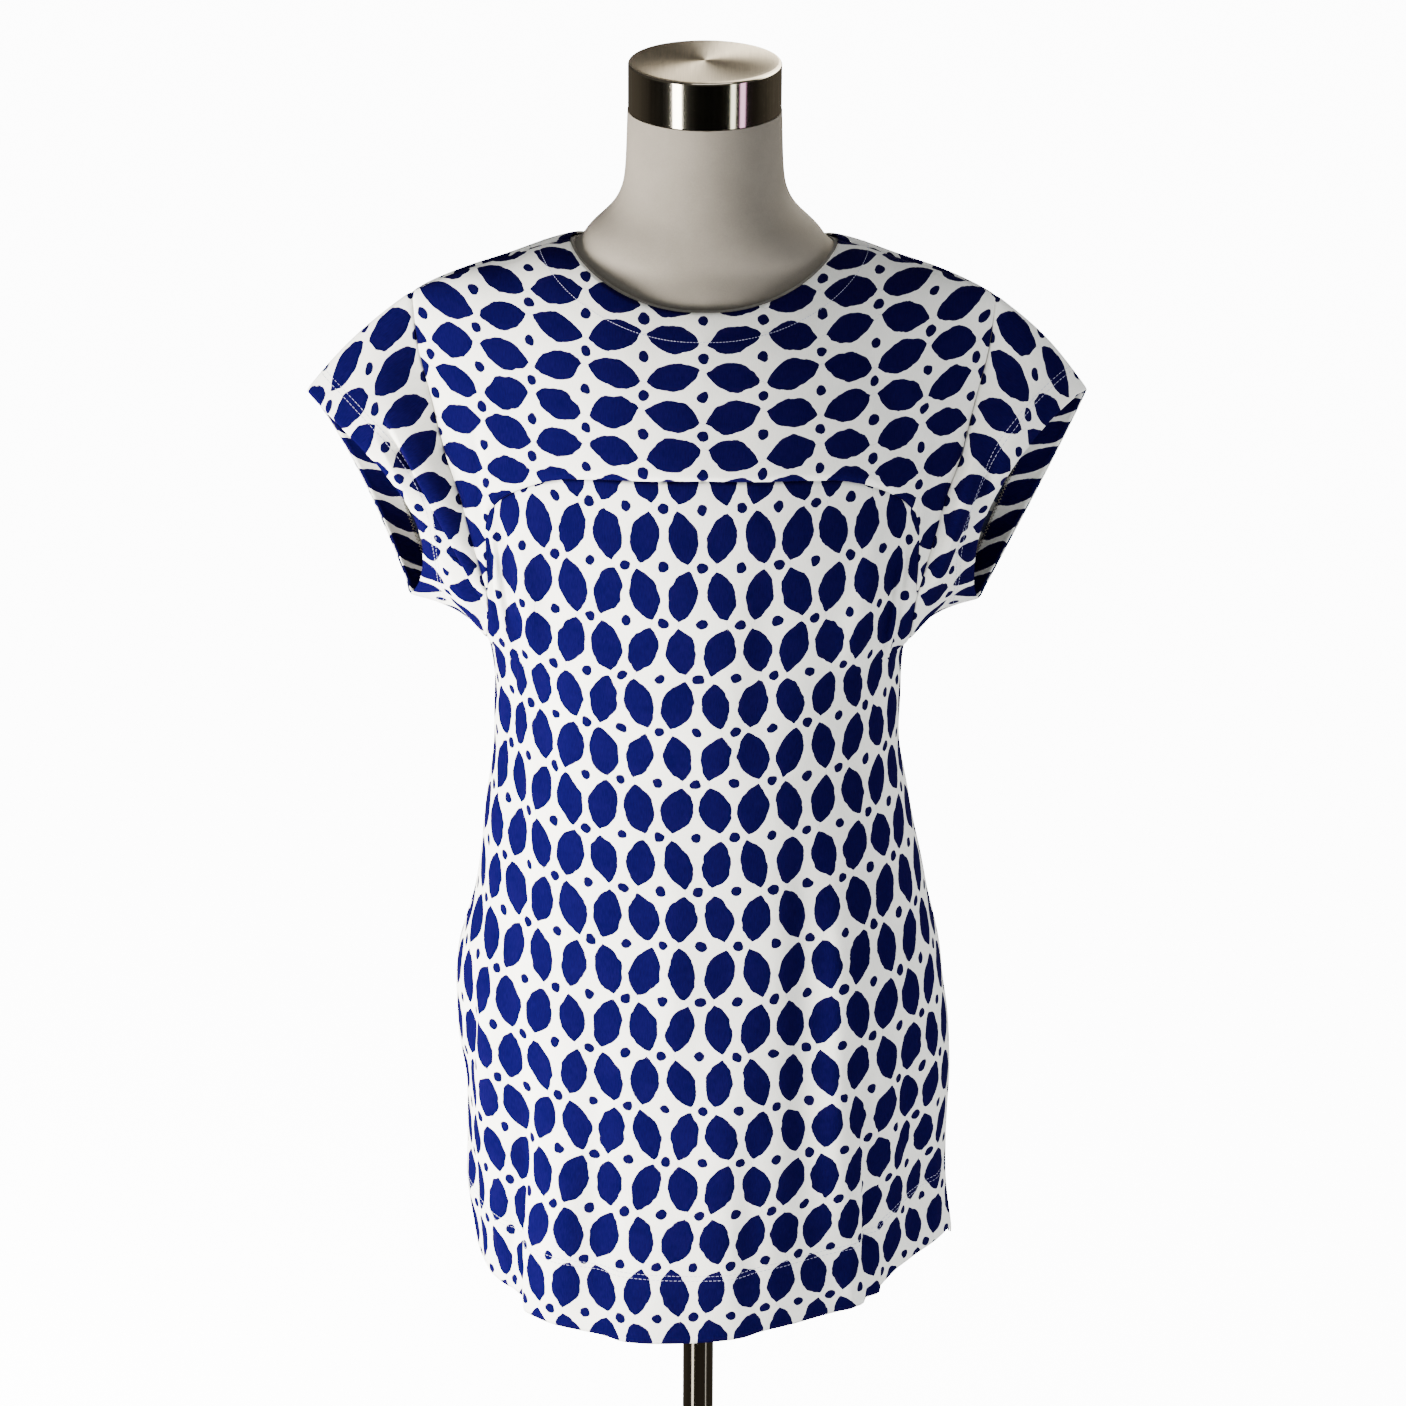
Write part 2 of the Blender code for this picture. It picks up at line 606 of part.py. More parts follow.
def neck_facing(yoke, back):
    """Rings of the facing, inside the neckline, with columns at the panels' own points."""
    first = (yoke.shape[1] - 1) // 2 - YOKE_NECK_COLUMNS
    front_edge = yoke[-1, first : first + 2 * YOKE_NECK_COLUMNS + 1]
    back_edge = back[-1, BACK_SHOULDER_COLUMNS:-BACK_SHOULDER_COLUMNS][::-1]
    seams = 0.5 * (front_edge[[0, -1]] + back_edge[[-1, 0]])
    edge = np.array([seams[0], *front_edge[1:-1], seams[1], *back_edge[1:-1]])
    low = []
    for x, y, _ in edge:
        side = "front" if y < 0.0 else "back"
        depth = NECK_FRONT if side == "front" else NECK_BACK
        angle = math.atan2(abs(y) / depth, x / NECK_HALF_WIDTH)
        low_x = np.array((NECK_HALF_WIDTH + FACING_WIDTH) * math.cos(angle))
        low_y = (depth + FACING_WIDTH) * math.sin(angle)
        low.append(upper_point(side, low_x, turn_at_depth(side, low_x, low_y)))
    ring = np.array([low, edge])
    rise = ring[1] - ring[0]
    rise /= np.linalg.norm(rise, axis=1, keepdims=True)
    normals = np.cross(np.roll(ring, -1, axis=1) - np.roll(ring, 1, axis=1), rise)
    normals /= np.linalg.norm(normals, axis=2, keepdims=True)
    normals *= np.where(normals[..., 2:] < 0.0, -1.0, 1.0)
    low, edge = ring - normals * (WALL + FACING_GAP)
    return np.array([low, edge, edge + rise * FACING_RISE])


def form_ring(height):
    """One ring of the dress form."""
    points = []
    for angle in np.linspace(0.0, 2.0 * math.pi, FORM_COLUMNS, endpoint=False):
        c = math.cos(angle)
        s = math.sin(angle)
        side = "front" if s < 0.0 else "back"
        if height > UNDERARM_Z:
            half = float(smooth(FORM_SIDE, "half_width", height))
            y = outward(side) * form_depth(side, half * c, height, half)
            points.append((half * c, y, height))
            continue
        power = 2.0 / float(smooth(FORM_RINGS, "power", height))
        half = float(smooth(FORM_RINGS, "half_width", height))
        depth = float(smooth(FORM_RINGS, side, height))
        x = half * math.copysign(abs(c) ** power, c)
        points.append((x, depth * math.copysign(abs(s) ** power, s), height))
    return points


def torso_depth(side, x, height, half):
    """Depth of the form's chest or back, inside the cloth."""
    nearness = float(smoothstep((FORM_NECK_REACH - abs(x)) / FORM_NECK_EASE))
    raised = height + FORM_REST + (FORM_NECK_REST - FORM_REST) * nearness
    ridge = float(shoulder_z(x))
    if raised >= ridge:
        return 0.0
    climb = max(0.0, (raised - BUST_Z) / (ridge - BUST_Z))
    depth = float(bust_depth(side, x))
    if climb > 0.0:
        depth = abs(float(upper_point(side, np.array(x), turn_at_height(side, x, raised))[1]))
    depth *= 1.0 - FORM_SLACK_LOW + (FORM_SLACK_LOW - FORM_SLACK_HIGH) * climb
    depth *= math.sqrt(max(0.0, 1.0 - (x / half) ** FORM_CHEST_POWER))
    ring = float(smooth(FORM_RINGS, side, UNDERARM_Z)) * math.sqrt(max(0.0, 1.0 - (x / half) ** 2))
    upper = float(smoothstep((height - UNDERARM_Z) / FORM_BLEND_HEIGHT))
    return ring + (depth - ring) * upper


def form_depth(side, x, height, half):
    """Depth of the dress form above the underarm, where the chest turns into the neck."""
    torso = torso_depth(side, x, height, half)
    neck_half = min(half, float(smooth(NECK_RINGS, "half_width", height)))
    neck = float(smooth(NECK_RINGS, side, height))
    neck *= math.sqrt(max(0.0, 1.0 - (x / neck_half) ** 2))
    hole = NECK_FRONT if side == "front" else NECK_BACK
    hole_x = NECK_HALF_WIDTH - FACING_RISE
    rim = math.sqrt(max(0.0, 1.0 - (x / hole_x) ** 2))
    hole = (hole - FACING_RISE - FORM_NECK_MARGIN) * rim
    joined = (torso**FORM_BLEND_POWER + neck**FORM_BLEND_POWER) ** (1.0 / FORM_BLEND_POWER)
    return min(joined, max(torso, hole))


def principled(slot, colour, roughness, metallic):
    """A plain Principled material, named for its slot."""
    material = bpy.data.materials.new(slot)
    material.use_nodes = True
    shader = material.node_tree.nodes["Principled BSDF"]
    shader.inputs["Base Color"].default_value = (*colour, 1.0)
    shader.inputs["Roughness"].default_value = roughness
    shader.inputs["Metallic"].default_value = metallic
    material.diffuse_color = (*colour, 1.0)
    return material


def add_object(name, mesh, material, collection):
    """Put a mesh in the collection as a named object."""
    mesh.materials.append(material)
    item = bpy.data.objects.new(name, mesh)
    collection.objects.link(item)
    return item


def grid_mesh(name, grid, closed):
    """A surface of quads through a grid of rows, which closed joins end to end."""
    rows, columns = grid.shape[:2]
    net = bmesh.new()
    points = [[net.verts.new(tuple(point)) for point in row] for row in grid]
    for r in range(rows - 1):
        for c in range(columns if closed else columns - 1):
            right = (c + 1) % columns
            net.faces.new((points[r][c], points[r][right], points[r + 1][right], points[r + 1][c]))
    mesh = bpy.data.meshes.new(name)
    net.to_mesh(mesh)
    net.free()
    mesh.shade_smooth()
    return mesh


def add_cloth(name, grid, material, collection, closed=False):
    """A cut piece of cloth: a surface with a wall's thickness."""
    item = add_object(name, grid_mesh(name, grid, closed), material, collection)
    wall = item.modifiers.new("wall", "SOLIDIFY")
    wall.thickness = WALL
    wall.offset = 0.0
    return item


def add_form(material, collection):
    """The torso and neck of the dress form, one smooth closed solid."""
    lower = np.linspace(FORM_BOTTOM_Z, UNDERARM_Z, FORM_LOWER_ROWS + 1)
    middle = np.linspace(UNDERARM_Z, FORM_SHOULDER_Z, FORM_CHEST_ROWS + 1)[1:]
    upper = [row.height for row in FORM_SIDE if row.height > FORM_SHOULDER_Z]
    rings = [form_ring(float(height)) for height in (*lower, *middle, *upper)]
    net = bmesh.new()
    points = [[net.verts.new(point) for point in ring] for ring in rings]
    for low, high in zip(points[:-1], points[1:]):
        for c in range(FORM_COLUMNS):
            right = (c + 1) % FORM_COLUMNS
            net.faces.new((low[c], low[right], high[right], high[c]))
    net.faces.new(points[0][::-1])
    net.faces.new(points[-1])
    mesh = bpy.data.meshes.new("dress_form")
    net.to_mesh(mesh)
    net.free()
    mesh.shade_smooth()
    mesh.set_sharp_from_angle(angle=FORM_SHARP_ANGLE)
    return add_object("dress_form", mesh, material, collection)


def add_turned(name, profile, material, collection, closed):
    """A turned piece. The profile runs down its outer side, at +X."""
    net = bmesh.new()
    points = [net.verts.new((radius, 0.0, height)) for radius, height in profile]
    pairs = list(zip(points[:-1], points[1:]))
    if closed:
        pairs.append((points[-1], points[0]))
    for start, stop in pairs:
        net.edges.new((start, stop))
    mesh = bpy.data.meshes.new(name)
    net.to_mesh(mesh)
    net.free()
    item = add_object(name, mesh, material, collection)
    turn = item.modifiers.new("turn", "SCREW")
    turn.steps = ROUND_STEPS
    turn.render_steps = ROUND_STEPS
    turn.use_merge_vertices = True
    turn.merge_threshold = MERGE
    turn.use_smooth_shade = True
    return item


def rounded_corner(radius, top, edge, steps=CORNER_STEPS):
    """Points over a rounded outer edge, from the flat top to the side."""
    points = []
    for k in range(steps + 1):
        angle = 0.5 * math.pi * k / steps
        points.append((radius - edge + edge * math.sin(angle), top - edge + edge * math.cos(angle)))
    return points


def add_cap(material, collection):
    """The round metal cap on the neck, slightly domed."""
    top = [(0.0, CAP_TOP_Z), (CAP_RADIUS / 2.0, CAP_TOP_Z - CAP_DOME / 4.0)]
    edge = rounded_corner(CAP_RADIUS, CAP_TOP_Z - CAP_DOME, CAP_EDGE)
    bottom = CAP_TOP_Z - CAP_HEIGHT
    return add_turned("neck_cap", [*top, *edge, (CAP_RADIUS, bottom), (0.0, bottom)],
                      material, collection, False)


def add_stand(material, collection):
    """Flange and collar under the form, the pole, and the round base with its collar."""
    bore = POLE_RADIUS + POLE_CLEARANCE
    flange_top = FORM_BOTTOM_Z - SEAM_GAP
    flange_low = flange_top - FLANGE_THICKNESS
    collar_low = flange_top - COLLAR_HEIGHT
    add_turned("form_flange", [
        (bore, flange_top), *rounded_corner(FLANGE_RADIUS, flange_top, FLANGE_EDGE,
                                              FLANGE_STEPS),
        (FLANGE_RADIUS, flange_low), (COLLAR_RADIUS, flange_low), (COLLAR_RADIUS, collar_low),
        (bore, collar_low)], material, collection, True)
    base_collar_top = BASE_THICKNESS + COLLAR_HEIGHT
    add_turned("base_plate", [
        (bore, base_collar_top), (COLLAR_RADIUS, base_collar_top),
        (COLLAR_RADIUS, BASE_THICKNESS), *rounded_corner(BASE_RADIUS, BASE_THICKNESS, BASE_EDGE),
        (BASE_RADIUS, 0.0), (0.0, 0.0), (0.0, BASE_THICKNESS), (bore, BASE_THICKNESS)],
        material, collection, True)
    pole_low = BASE_THICKNESS + SEAM_GAP
    pole_high = flange_top - COLLAR_HEIGHT + POLE_INSERT
    add_turned("pole", [
        (0.0, pole_high), (POLE_RADIUS, pole_high), (POLE_RADIUS, pole_low), (0.0, pole_low)],
        material, collection, False)


def clear_scene():
    """Remove what the file holds."""
    for item in list(bpy.data.objects):
        bpy.data.objects.remove(item, do_unlink=True)


def main():
    """Build the shirt, the dress form and the stand."""
    clear_scene()
    collection = bpy.data.collections.new(COLLECTION)
    bpy.context.scene.collection.children.link(collection)
    looks = {look.slot: principled(*look) for look in LOOKS}
    cloth = looks["printed_cotton"]
    trim = looks["facing_jersey"]
    form = looks["form_cover"]
    steel = looks["polished_steel"]
    front = front_grid()
    back = back_grid()
    yoke = yoke_grid(front)
    add_cloth("front_panel", front_panel(front), cloth, collection)
    add_cloth("front_yoke", front_yoke(yoke), cloth, collection)
    add_cloth("back_panel", back_panel(back), cloth, collection)
    for hand in ("left", "right"):
        add_cloth("sleeve_" + hand, sleeve(hand, front, yoke, back), cloth, collection, closed=True)
    add_cloth("neck_facing", neck_facing(yoke, back), trim, collection, closed=True)
    add_form(form, collection)
    add_cap(steel, collection)
    add_stand(steel, collection)


main()
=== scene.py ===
"""Looks of the printed T-shirt on its dress form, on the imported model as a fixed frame.

Metres, +Z up, the front faces -Y. Each cut piece repeats the form of its solid with finer
points, small creases, seams and stitches. The print is a plain leaf and dot repeat.
"""
import math
from collections import namedtuple

import bpy
import numpy as np
from mathutils import Matrix, Vector
from mathutils.bvhtree import BVHTree

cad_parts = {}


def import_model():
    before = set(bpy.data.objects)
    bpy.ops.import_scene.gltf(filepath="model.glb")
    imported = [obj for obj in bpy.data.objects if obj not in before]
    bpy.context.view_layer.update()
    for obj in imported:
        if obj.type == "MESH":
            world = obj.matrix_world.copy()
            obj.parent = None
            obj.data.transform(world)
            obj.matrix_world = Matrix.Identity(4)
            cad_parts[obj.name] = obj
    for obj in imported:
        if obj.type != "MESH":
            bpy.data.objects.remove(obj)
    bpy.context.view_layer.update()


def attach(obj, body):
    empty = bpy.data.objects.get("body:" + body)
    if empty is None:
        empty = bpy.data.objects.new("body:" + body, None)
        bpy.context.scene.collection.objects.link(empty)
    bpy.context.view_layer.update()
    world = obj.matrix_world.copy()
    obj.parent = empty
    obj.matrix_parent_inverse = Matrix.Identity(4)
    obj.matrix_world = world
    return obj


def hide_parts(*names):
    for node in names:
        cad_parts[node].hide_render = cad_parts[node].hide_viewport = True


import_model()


def table(fields, *rows):
    """Rows of numbers with named columns."""
    kind = namedtuple("Row", fields)
    return tuple(kind(*row) for row in rows)


# Cloth of the solids
WALL = 0.0012
SEAM_GAP = 0.0003
SHOULDER_GAP = 0.0008
FACING_WIDTH = 0.014
FACING_RISE = 0.0025
FACING_GAP = 0.0018
FOLD_FADE = 0.016

# Heights on the shirt
HEM_Z = 0.3136
UNDERARM_Z = 0.785
BUST_Z = 0.840

# The two sides of the shirt: the sign of y there, the dip of the hem, the depth of the
# neckline, which is an ellipse seen from above, and how full the cloth is above bust level
NECK_HALF_WIDTH = 0.092
Side = namedtuple("Side", "outward hem_dip neck dome")
SIDES = {"front": Side(-1.0, 0.019, 0.0695, 2.0), "back": Side(1.0, 0.010, 0.062, 2.5)}

# Sleeves
SLEEVE_BULGE = 0.008
SLEEVE_TOP_BULGE = 0.004
SLEEVE_UNDER_ARCH = 0.004
SLEEVE_GAP_TOP = 0.0007
SLEEVE_GAP_BOTTOM = 0.0012

# Dress form and stand
CAP_TOP_Z = 1.200
CAP_RADIUS = 0.0522
CAP_HEIGHT = 0.034
CAP_EDGE = 0.0025
CAP_DOME = 0.0006
CAP_BEVEL = 0.0004
FORM_TOP_Z = 1.1657
FORM_BOTTOM_Z = 0.400
FORM_REST = 0.0012
FORM_NECK_REST = 0.0050
FORM_NECK_MARGIN = 0.0035
NECK_REST_X = 0.135
NECK_REST_FADE = 0.02
BUST_EASE = 0.02
FORM_SLACK_LOW = 0.16
FORM_SLACK_HIGH = 0.06
FLANGE_RADIUS = 0.045
FLANGE_THICKNESS = 0.006
COLLAR_RADIUS = 0.0175
COLLAR_HEIGHT = 0.034
FLANGE_EDGE = 0.002
COLLAR_EDGE = 0.0015
POLE_RADIUS = 0.01125
POLE_INSERT = 0.030
BASE_RADIUS = 0.150
BASE_THICKNESS = 0.010
BASE_EDGE = 0.003
AXIS_HOLE = 1e-5
SATIN_SHARE = 0.3
FORM_FLAT = 8
NECK_BLEND = 6

# Mesh resolution
DENSE = 401
PANEL_COLUMNS = 150
COLUMN_SPREAD = 0.045
LOWER_ROWS = 176
UNDERARM_ROWS = 18
CHEST_ROWS = 34
BUST_ROW = LOWER_ROWS + UNDERARM_ROWS
BACK_SHOULDER_COLUMNS = 36
BACK_NECK_COLUMNS = 64
BACK_UPPER_ROWS = 76
BACK_EDGE_STEPS = (0.012, 0.009, 0.006, 0.003, 0.0)
YOKE_NECK_COLUMNS = 34
YOKE_SHARES = 1.0 - (1.0 - np.arange(47) / 46.0) ** 1.08
SLEEVE_ROWS = 64
SLEEVE_FINER = 3
FORM_COLUMNS = 120
ROUND_STEPS = 160
CORNER_STEPS = 8
SHARP_STEEL = math.radians(35.0)
SHARP_FORM = math.radians(50.0)
THREAD_SIDES = 6

# Sections of the body cloth from the hem to bust level. The depth of a side falls from its
# deepest point, at peak half-widths from the centre, to the side seams:
# depth * (1 - share ** power) ** edge, with right_edge in place of edge on the front's right.
SECTIONS = table(
    "height centre half_width peak front back power edge right_edge",
    (0.3136, 0.0112, 0.1737, -0.24, 0.138, 0.115, 2.0, 0.5, 0.85),
    (0.372, 0.0055, 0.1736, -0.14, 0.138, 0.114, 2.0, 0.5, 0.74),
    (0.436, 0.006, 0.1738, -0.05, 0.135, 0.11, 2.1, 0.48, 0.58),
    (0.484, 0.0025, 0.176, 0.0, 0.133, 0.107, 2.1, 0.476, 0.5),
    (0.531, -0.0005, 0.1734, 0.0, 0.13, 0.101, 2.1, 0.476, 0.476),
    (0.594, 0.0006, 0.1596, 0.0, 0.124, 0.091, 2.1, 0.476, 0.476),
    (0.656, -0.0022, 0.1498, 0.0, 0.12, 0.083, 2.1, 0.476, 0.476),
    (0.7175, -0.0035, 0.1423, 0.0, 0.12, 0.081, 2.1, 0.476, 0.476),
    (0.748, -0.003, 0.1422, 0.0, 0.123, 0.084, 2.05, 0.488, 0.488),
    (0.785, -0.0035, 0.146, 0.0, 0.127, 0.09, 2.0, 0.5, 0.5),
    (0.8, -0.0025, 0.164, 0.0, 0.1275, 0.092, 2.0, 0.62, 0.62),
    (0.82, -0.001, 0.19, 0.0, 0.128, 0.096, 2.0, 0.82, 0.82),
    (0.84, 0.0, 0.215, 0.0, 0.128, 0.1, 2.0, 1.0, 1.0))

# The shoulder line, from the centre of the neck out to the armhole
SHOULDER_LINE = table("x height", (0.0, 1.0825), (0.05, 1.08), (0.092, 1.0735), (0.139, 1.059),
                      (0.17, 1.0485), (0.188, 1.041), (0.2, 1.0345))

# The armhole seam seen from the front, from the underarm up to the shoulder
ARMHOLE = table("height x", (0.785, 0.146), (0.8, 0.1465), (0.835, 0.1475), (0.85, 0.151),
                (0.877, 0.159), (0.905, 0.167), (0.93, 0.1765), (0.965, 0.186), (1.004, 0.1965),
                (1.0345, 0.2))

# The yoke seam seen from the front: across the chest, and down each side to the yoke's tail
YOKE_ACROSS = table("x height", (0.0, 0.94), (0.06, 0.937), (0.09, 0.9335), (0.107, 0.9285),
                    (0.122, 0.921), (0.136, 0.911), (0.146, 0.899))
YOKE_DOWN = table("height x", (0.84, 0.1473), (0.865, 0.1485), (0.885, 0.149), (0.899, 0.146))

# Cuffs: the ends of each opening, how far its front is scooped towards the body and how far
# down that scoop lies, how far its back swells out, and its depth to the front and the back
CUFFS = dict(zip(("left", "right"), table(
    "top_x top_z bottom_x bottom_z scoop skew swell front back",
    (0.2735, 0.9622, 0.204, 0.812, 0.034, 1.3, 0.002, 0.038, 0.042),
    (0.2645, 0.966, 0.1935, 0.811, 0.03, 1.0, 0.01, 0.038, 0.042))))
CUFF_FULLNESS = 0.7

# Straight folds and creases as seen from the front: the ends, the width and the depth, which is
# below zero for a trough, and a power that makes a sharper line when it is low. The largest
# are the solids' own folds.
LINE = "x0 z0 x1 z1 width depth power"
FRONT_FOLDS = table(
    LINE,
    (-0.14, 0.905, -0.128, 0.8, 0.007, -0.004, 2.0),
    (-0.124, 0.88, -0.112, 0.79, 0.008, 0.003, 2.0),
    (-0.132, 0.76, -0.125, 0.61, 0.008, -0.004, 2.0),
    (-0.117, 0.8, -0.104, 0.69, 0.009, -0.003, 2.0),
    (-0.124, 0.47, -0.128, 0.3, 0.008, -0.006, 2.0),
    (-0.145, 0.56, -0.152, 0.4, 0.009, 0.005, 2.0),
    (-0.095, 0.43, -0.1, 0.29, 0.016, 0.005, 2.0),
    (0.135, 0.88, 0.118, 0.76, 0.008, -0.004, 2.0),
    (0.12, 0.9, 0.1, 0.8, 0.01, 0.003, 2.0),
    (0.078, 0.64, 0.088, 0.36, 0.018, -0.004, 2.0),
    (0.112, 0.52, 0.12, 0.33, 0.015, -0.004, 2.0),
    (0.1, 0.6, 0.104, 0.33, 0.016, 0.004, 2.0),
    (0.15, 0.5, 0.158, 0.31, 0.01, -0.004, 2.0),
    (0.02, 0.56, 0.028, 0.3, 0.03, 0.003, 2.0))
BACK_FOLDS = table(
    LINE,
    (-0.13, 0.87, -0.09, 0.74, 0.012, -0.004, 2.0),
    (-0.1, 0.62, -0.112, 0.32, 0.016, -0.006, 2.0),
    (-0.045, 0.6, -0.05, 0.31, 0.02, 0.005, 2.0),
    (0.015, 0.64, 0.02, 0.31, 0.018, -0.006, 2.0),
    (0.07, 0.59, 0.078, 0.31, 0.018, 0.005, 2.0),
    (0.118, 0.64, 0.132, 0.32, 0.014, -0.006, 2.0),
    (0.128, 0.87, 0.092, 0.74, 0.012, -0.004, 2.0))
FRONT_CREASES = table(
    LINE,
    (-0.15, 0.9, -0.1385, 0.792, 0.0024, -0.003, 1.6),
    (-0.1462, 0.896, -0.1345, 0.8, 0.0026, 0.0018, 1.6),
    (-0.1428, 0.884, -0.1302, 0.812, 0.0024, -0.0026, 1.6),
    (-0.1385, 0.86, -0.129, 0.815, 0.003, 0.0014, 1.8),
    (-0.1218, 0.842, -0.1335, 0.745, 0.003, -0.0026, 1.4),
    (-0.118, 0.835, -0.1285, 0.76, 0.004, 0.0014, 1.8),
    (-0.134, 0.752, -0.1445, 0.662, 0.0028, -0.0024, 1.4),
    (-0.1405, 0.69, -0.145, 0.64, 0.0026, 0.0015, 1.8),
    (-0.1582, 0.535, -0.164, 0.452, 0.003, -0.0026, 1.5),
    (-0.1545, 0.56, -0.159, 0.43, 0.004, 0.0015, 1.8),
    (-0.133, 0.4, -0.135, 0.29, 0.0045, -0.003, 1.7),
    (-0.163, 0.4, -0.156, 0.318, 0.003, -0.0026, 1.4),
    (-0.158, 0.372, -0.15, 0.305, 0.0032, 0.002, 1.6),
    (-0.151, 0.36, -0.1432, 0.31, 0.0028, -0.002, 1.5),
    (0.142, 0.898, 0.13, 0.764, 0.0028, -0.0034, 1.5),
    (0.1382, 0.886, 0.1262, 0.775, 0.0028, 0.0018, 1.7),
    (0.1345, 0.872, 0.1225, 0.79, 0.0028, -0.0026, 1.5),
    (0.129, 0.85, 0.118, 0.8, 0.0036, 0.0014, 1.8),
    (0.1385, 0.79, 0.129, 0.74, 0.0034, -0.0022, 1.6),
    (0.07, 0.69, 0.073, 0.38, 0.009, -0.0022, 2.0),
    (0.094, 0.65, 0.097, 0.4, 0.007, 0.0018, 2.0),
    (0.114, 0.5, 0.1175, 0.36, 0.005, -0.0026, 1.6),
    (0.1172, 0.39, 0.113, 0.285, 0.003, -0.0032, 1.4),
    (0.1095, 0.372, 0.106, 0.29, 0.005, 0.0018, 1.8),
    (0.16, 0.42, 0.164, 0.33, 0.0034, -0.0026, 1.5),
    (0.168, 0.44, 0.172, 0.32, 0.004, 0.0016, 1.8),
    (0.144, 0.52, 0.15, 0.38, 0.006, -0.002, 1.8),
    (-0.07, 0.56, -0.074, 0.33, 0.012, -0.002, 2.0),
    (0.035, 0.48, 0.038, 0.3, 0.01, -0.002, 2.0),
    (-0.02, 0.7, -0.018, 0.48, 0.014, 0.0014, 2.0),
    (0.045, 0.88, 0.036, 0.72, 0.012, -0.0012, 2.0))
BACK_CREASES = table(
    LINE,
    (-0.148, 0.885, -0.129, 0.775, 0.0034, -0.003, 1.5),
    (-0.14, 0.87, -0.118, 0.78, 0.0038, 0.0018, 1.8),
    (0.147, 0.89, 0.129, 0.772, 0.0034, -0.003, 1.5),
    (0.139, 0.868, 0.119, 0.785, 0.0038, 0.0018, 1.8),
    (-0.06, 0.76, -0.098, 0.69, 0.005, -0.002, 1.7),
    (0.062, 0.752, 0.099, 0.684, 0.005, -0.0022, 1.7),
    (-0.03, 0.72, 0.03, 0.716, 0.008, -0.0018, 2.0),
    (-0.088, 0.56, -0.09, 0.33, 0.006, -0.0026, 1.6),
    (0.043, 0.54, 0.046, 0.32, 0.007, -0.0026, 1.7),
    (0.098, 0.52, 0.105, 0.33, 0.005, 0.0022, 1.7),
    (-0.14, 0.48, -0.148, 0.33, 0.005, -0.0026, 1.6),
    (0.144, 0.5, 0.152, 0.33, 0.005, -0.0024, 1.6),
    (-0.01, 0.5, -0.012, 0.32, 0.009, 0.0022, 2.0))
YOKE_CREASES = table(
    LINE,
    (-0.156, 0.96, -0.152, 0.88, 0.004, -0.002, 1.7),
    (0.156, 0.962, 0.15, 0.88, 0.004, -0.002, 1.7),
    (-0.11, 1.01, -0.145, 0.94, 0.008, -0.0012, 2.0),
    (0.112, 1.012, 0.147, 0.94, 0.008, -0.0014, 2.0))
SLEEVE_CREASES = {
    "left": table(
        LINE,
        (-0.202, 0.948, -0.146, 0.83, 0.008, 0.0006, 1.9),
        (-0.242, 0.93, -0.193, 0.818, 0.007, 0.002, 1.9)),
    "right": table(
        LINE,
        (0.206, 0.95, 0.166, 0.822, 0.006, -0.006, 1.6),
        (0.193, 0.95, 0.157, 0.84, 0.006, 0.003, 1.9),
        (0.186, 0.945, 0.162, 0.862, 0.0034, -0.0022, 1.6),
        (0.228, 0.93, 0.188, 0.818, 0.007, 0.0018, 1.9)),
}
# How far the lines fade out past their ends, and over what share of their length they fade
FOLD_ENDS = (0.15, 0.40)
CREASE_ENDS = (0.12, 0.45)
# Sharp folds, where the cloth on one side of a line stands proud of the other, raised to the
# right of the line where side is 1 and to its left where it is -1, or sunk where the height is
# below zero. An even fold comes back to the cloth at one slope.
STEP = "x0 z0 x1 z1 height sharp reach side grow even"
FRONT_STEPS = table(
    STEP,
    (-0.119, 0.45, -0.1225, 0.28, 0.006, 0.003, 0.03, 1.0, 0.6, False),
    (0.1135, 0.5, 0.1175, 0.28, 0.004, 0.0034, 0.024, -1.0, 0.6, False),
    (0.128, 0.38, 0.13, 0.28, 0.0028, 0.003, 0.014, -1.0, 0.6, False),
    (-0.1575, 0.44, -0.148, 0.29, 0.0012, 0.003, 0.014, 1.0, 0.6, False))
SLEEVE_STEPS = {
    "left": table(STEP, (-0.218, 0.952, -0.159, 0.842, -0.0095, 0.005, 0.0115, -1.0, 0.25, True)),
    "right": (),
}
# Slight unevenness all over the cloth: waves of small height along a direction
WAVES = table(
    "across up phase height",
    (58.0, 17.0, 0.3, 0.00022),
    (-83.0, 31.0, 1.9, 0.00016),
    (121.0, -14.0, 4.1, 0.0001),
    (37.0, 66.0, 2.6, 0.0002),
    (-24.0, 102.0, 5.2, 0.00012))
# Drops of the front hem below its even line, to the right of a place where side is 1 and to
# its left where it is -1
HEM_DROPS = table(
    "x soft reach drop side",
    (-0.1225, 0.004, 0.012, 0.005, 1.0),
    (-0.06, 0.016, 0.06, 0.0026, 1.0),
    (0.04, 0.02, 0.06, -0.0028, 1.0),
    (0.1175, 0.004, 0.02, 0.0036, -1.0),
    (0.13, 0.004, 0.01, 0.003, -1.0),
    (0.136, 0.02, 0.3, -0.007, 1.0))
HEM_DROP_REACH = 0.09

# Dress form below bust level, inside the cloth. The upper body follows the cloth's own line.
FORM_RINGS = table(
    "height half_width front back power",
    (0.4, 0.148, 0.108, 0.088, 2.2),
    (0.45, 0.152, 0.112, 0.092, 2.2),
    (0.52, 0.15, 0.112, 0.09, 2.2),
    (0.6, 0.138, 0.102, 0.076, 2.15),
    (0.68, 0.122, 0.096, 0.062, 2.1),
    (0.74, 0.122, 0.102, 0.066, 2.05),
    (0.785, 0.132, 0.11, 0.072, 2.0))
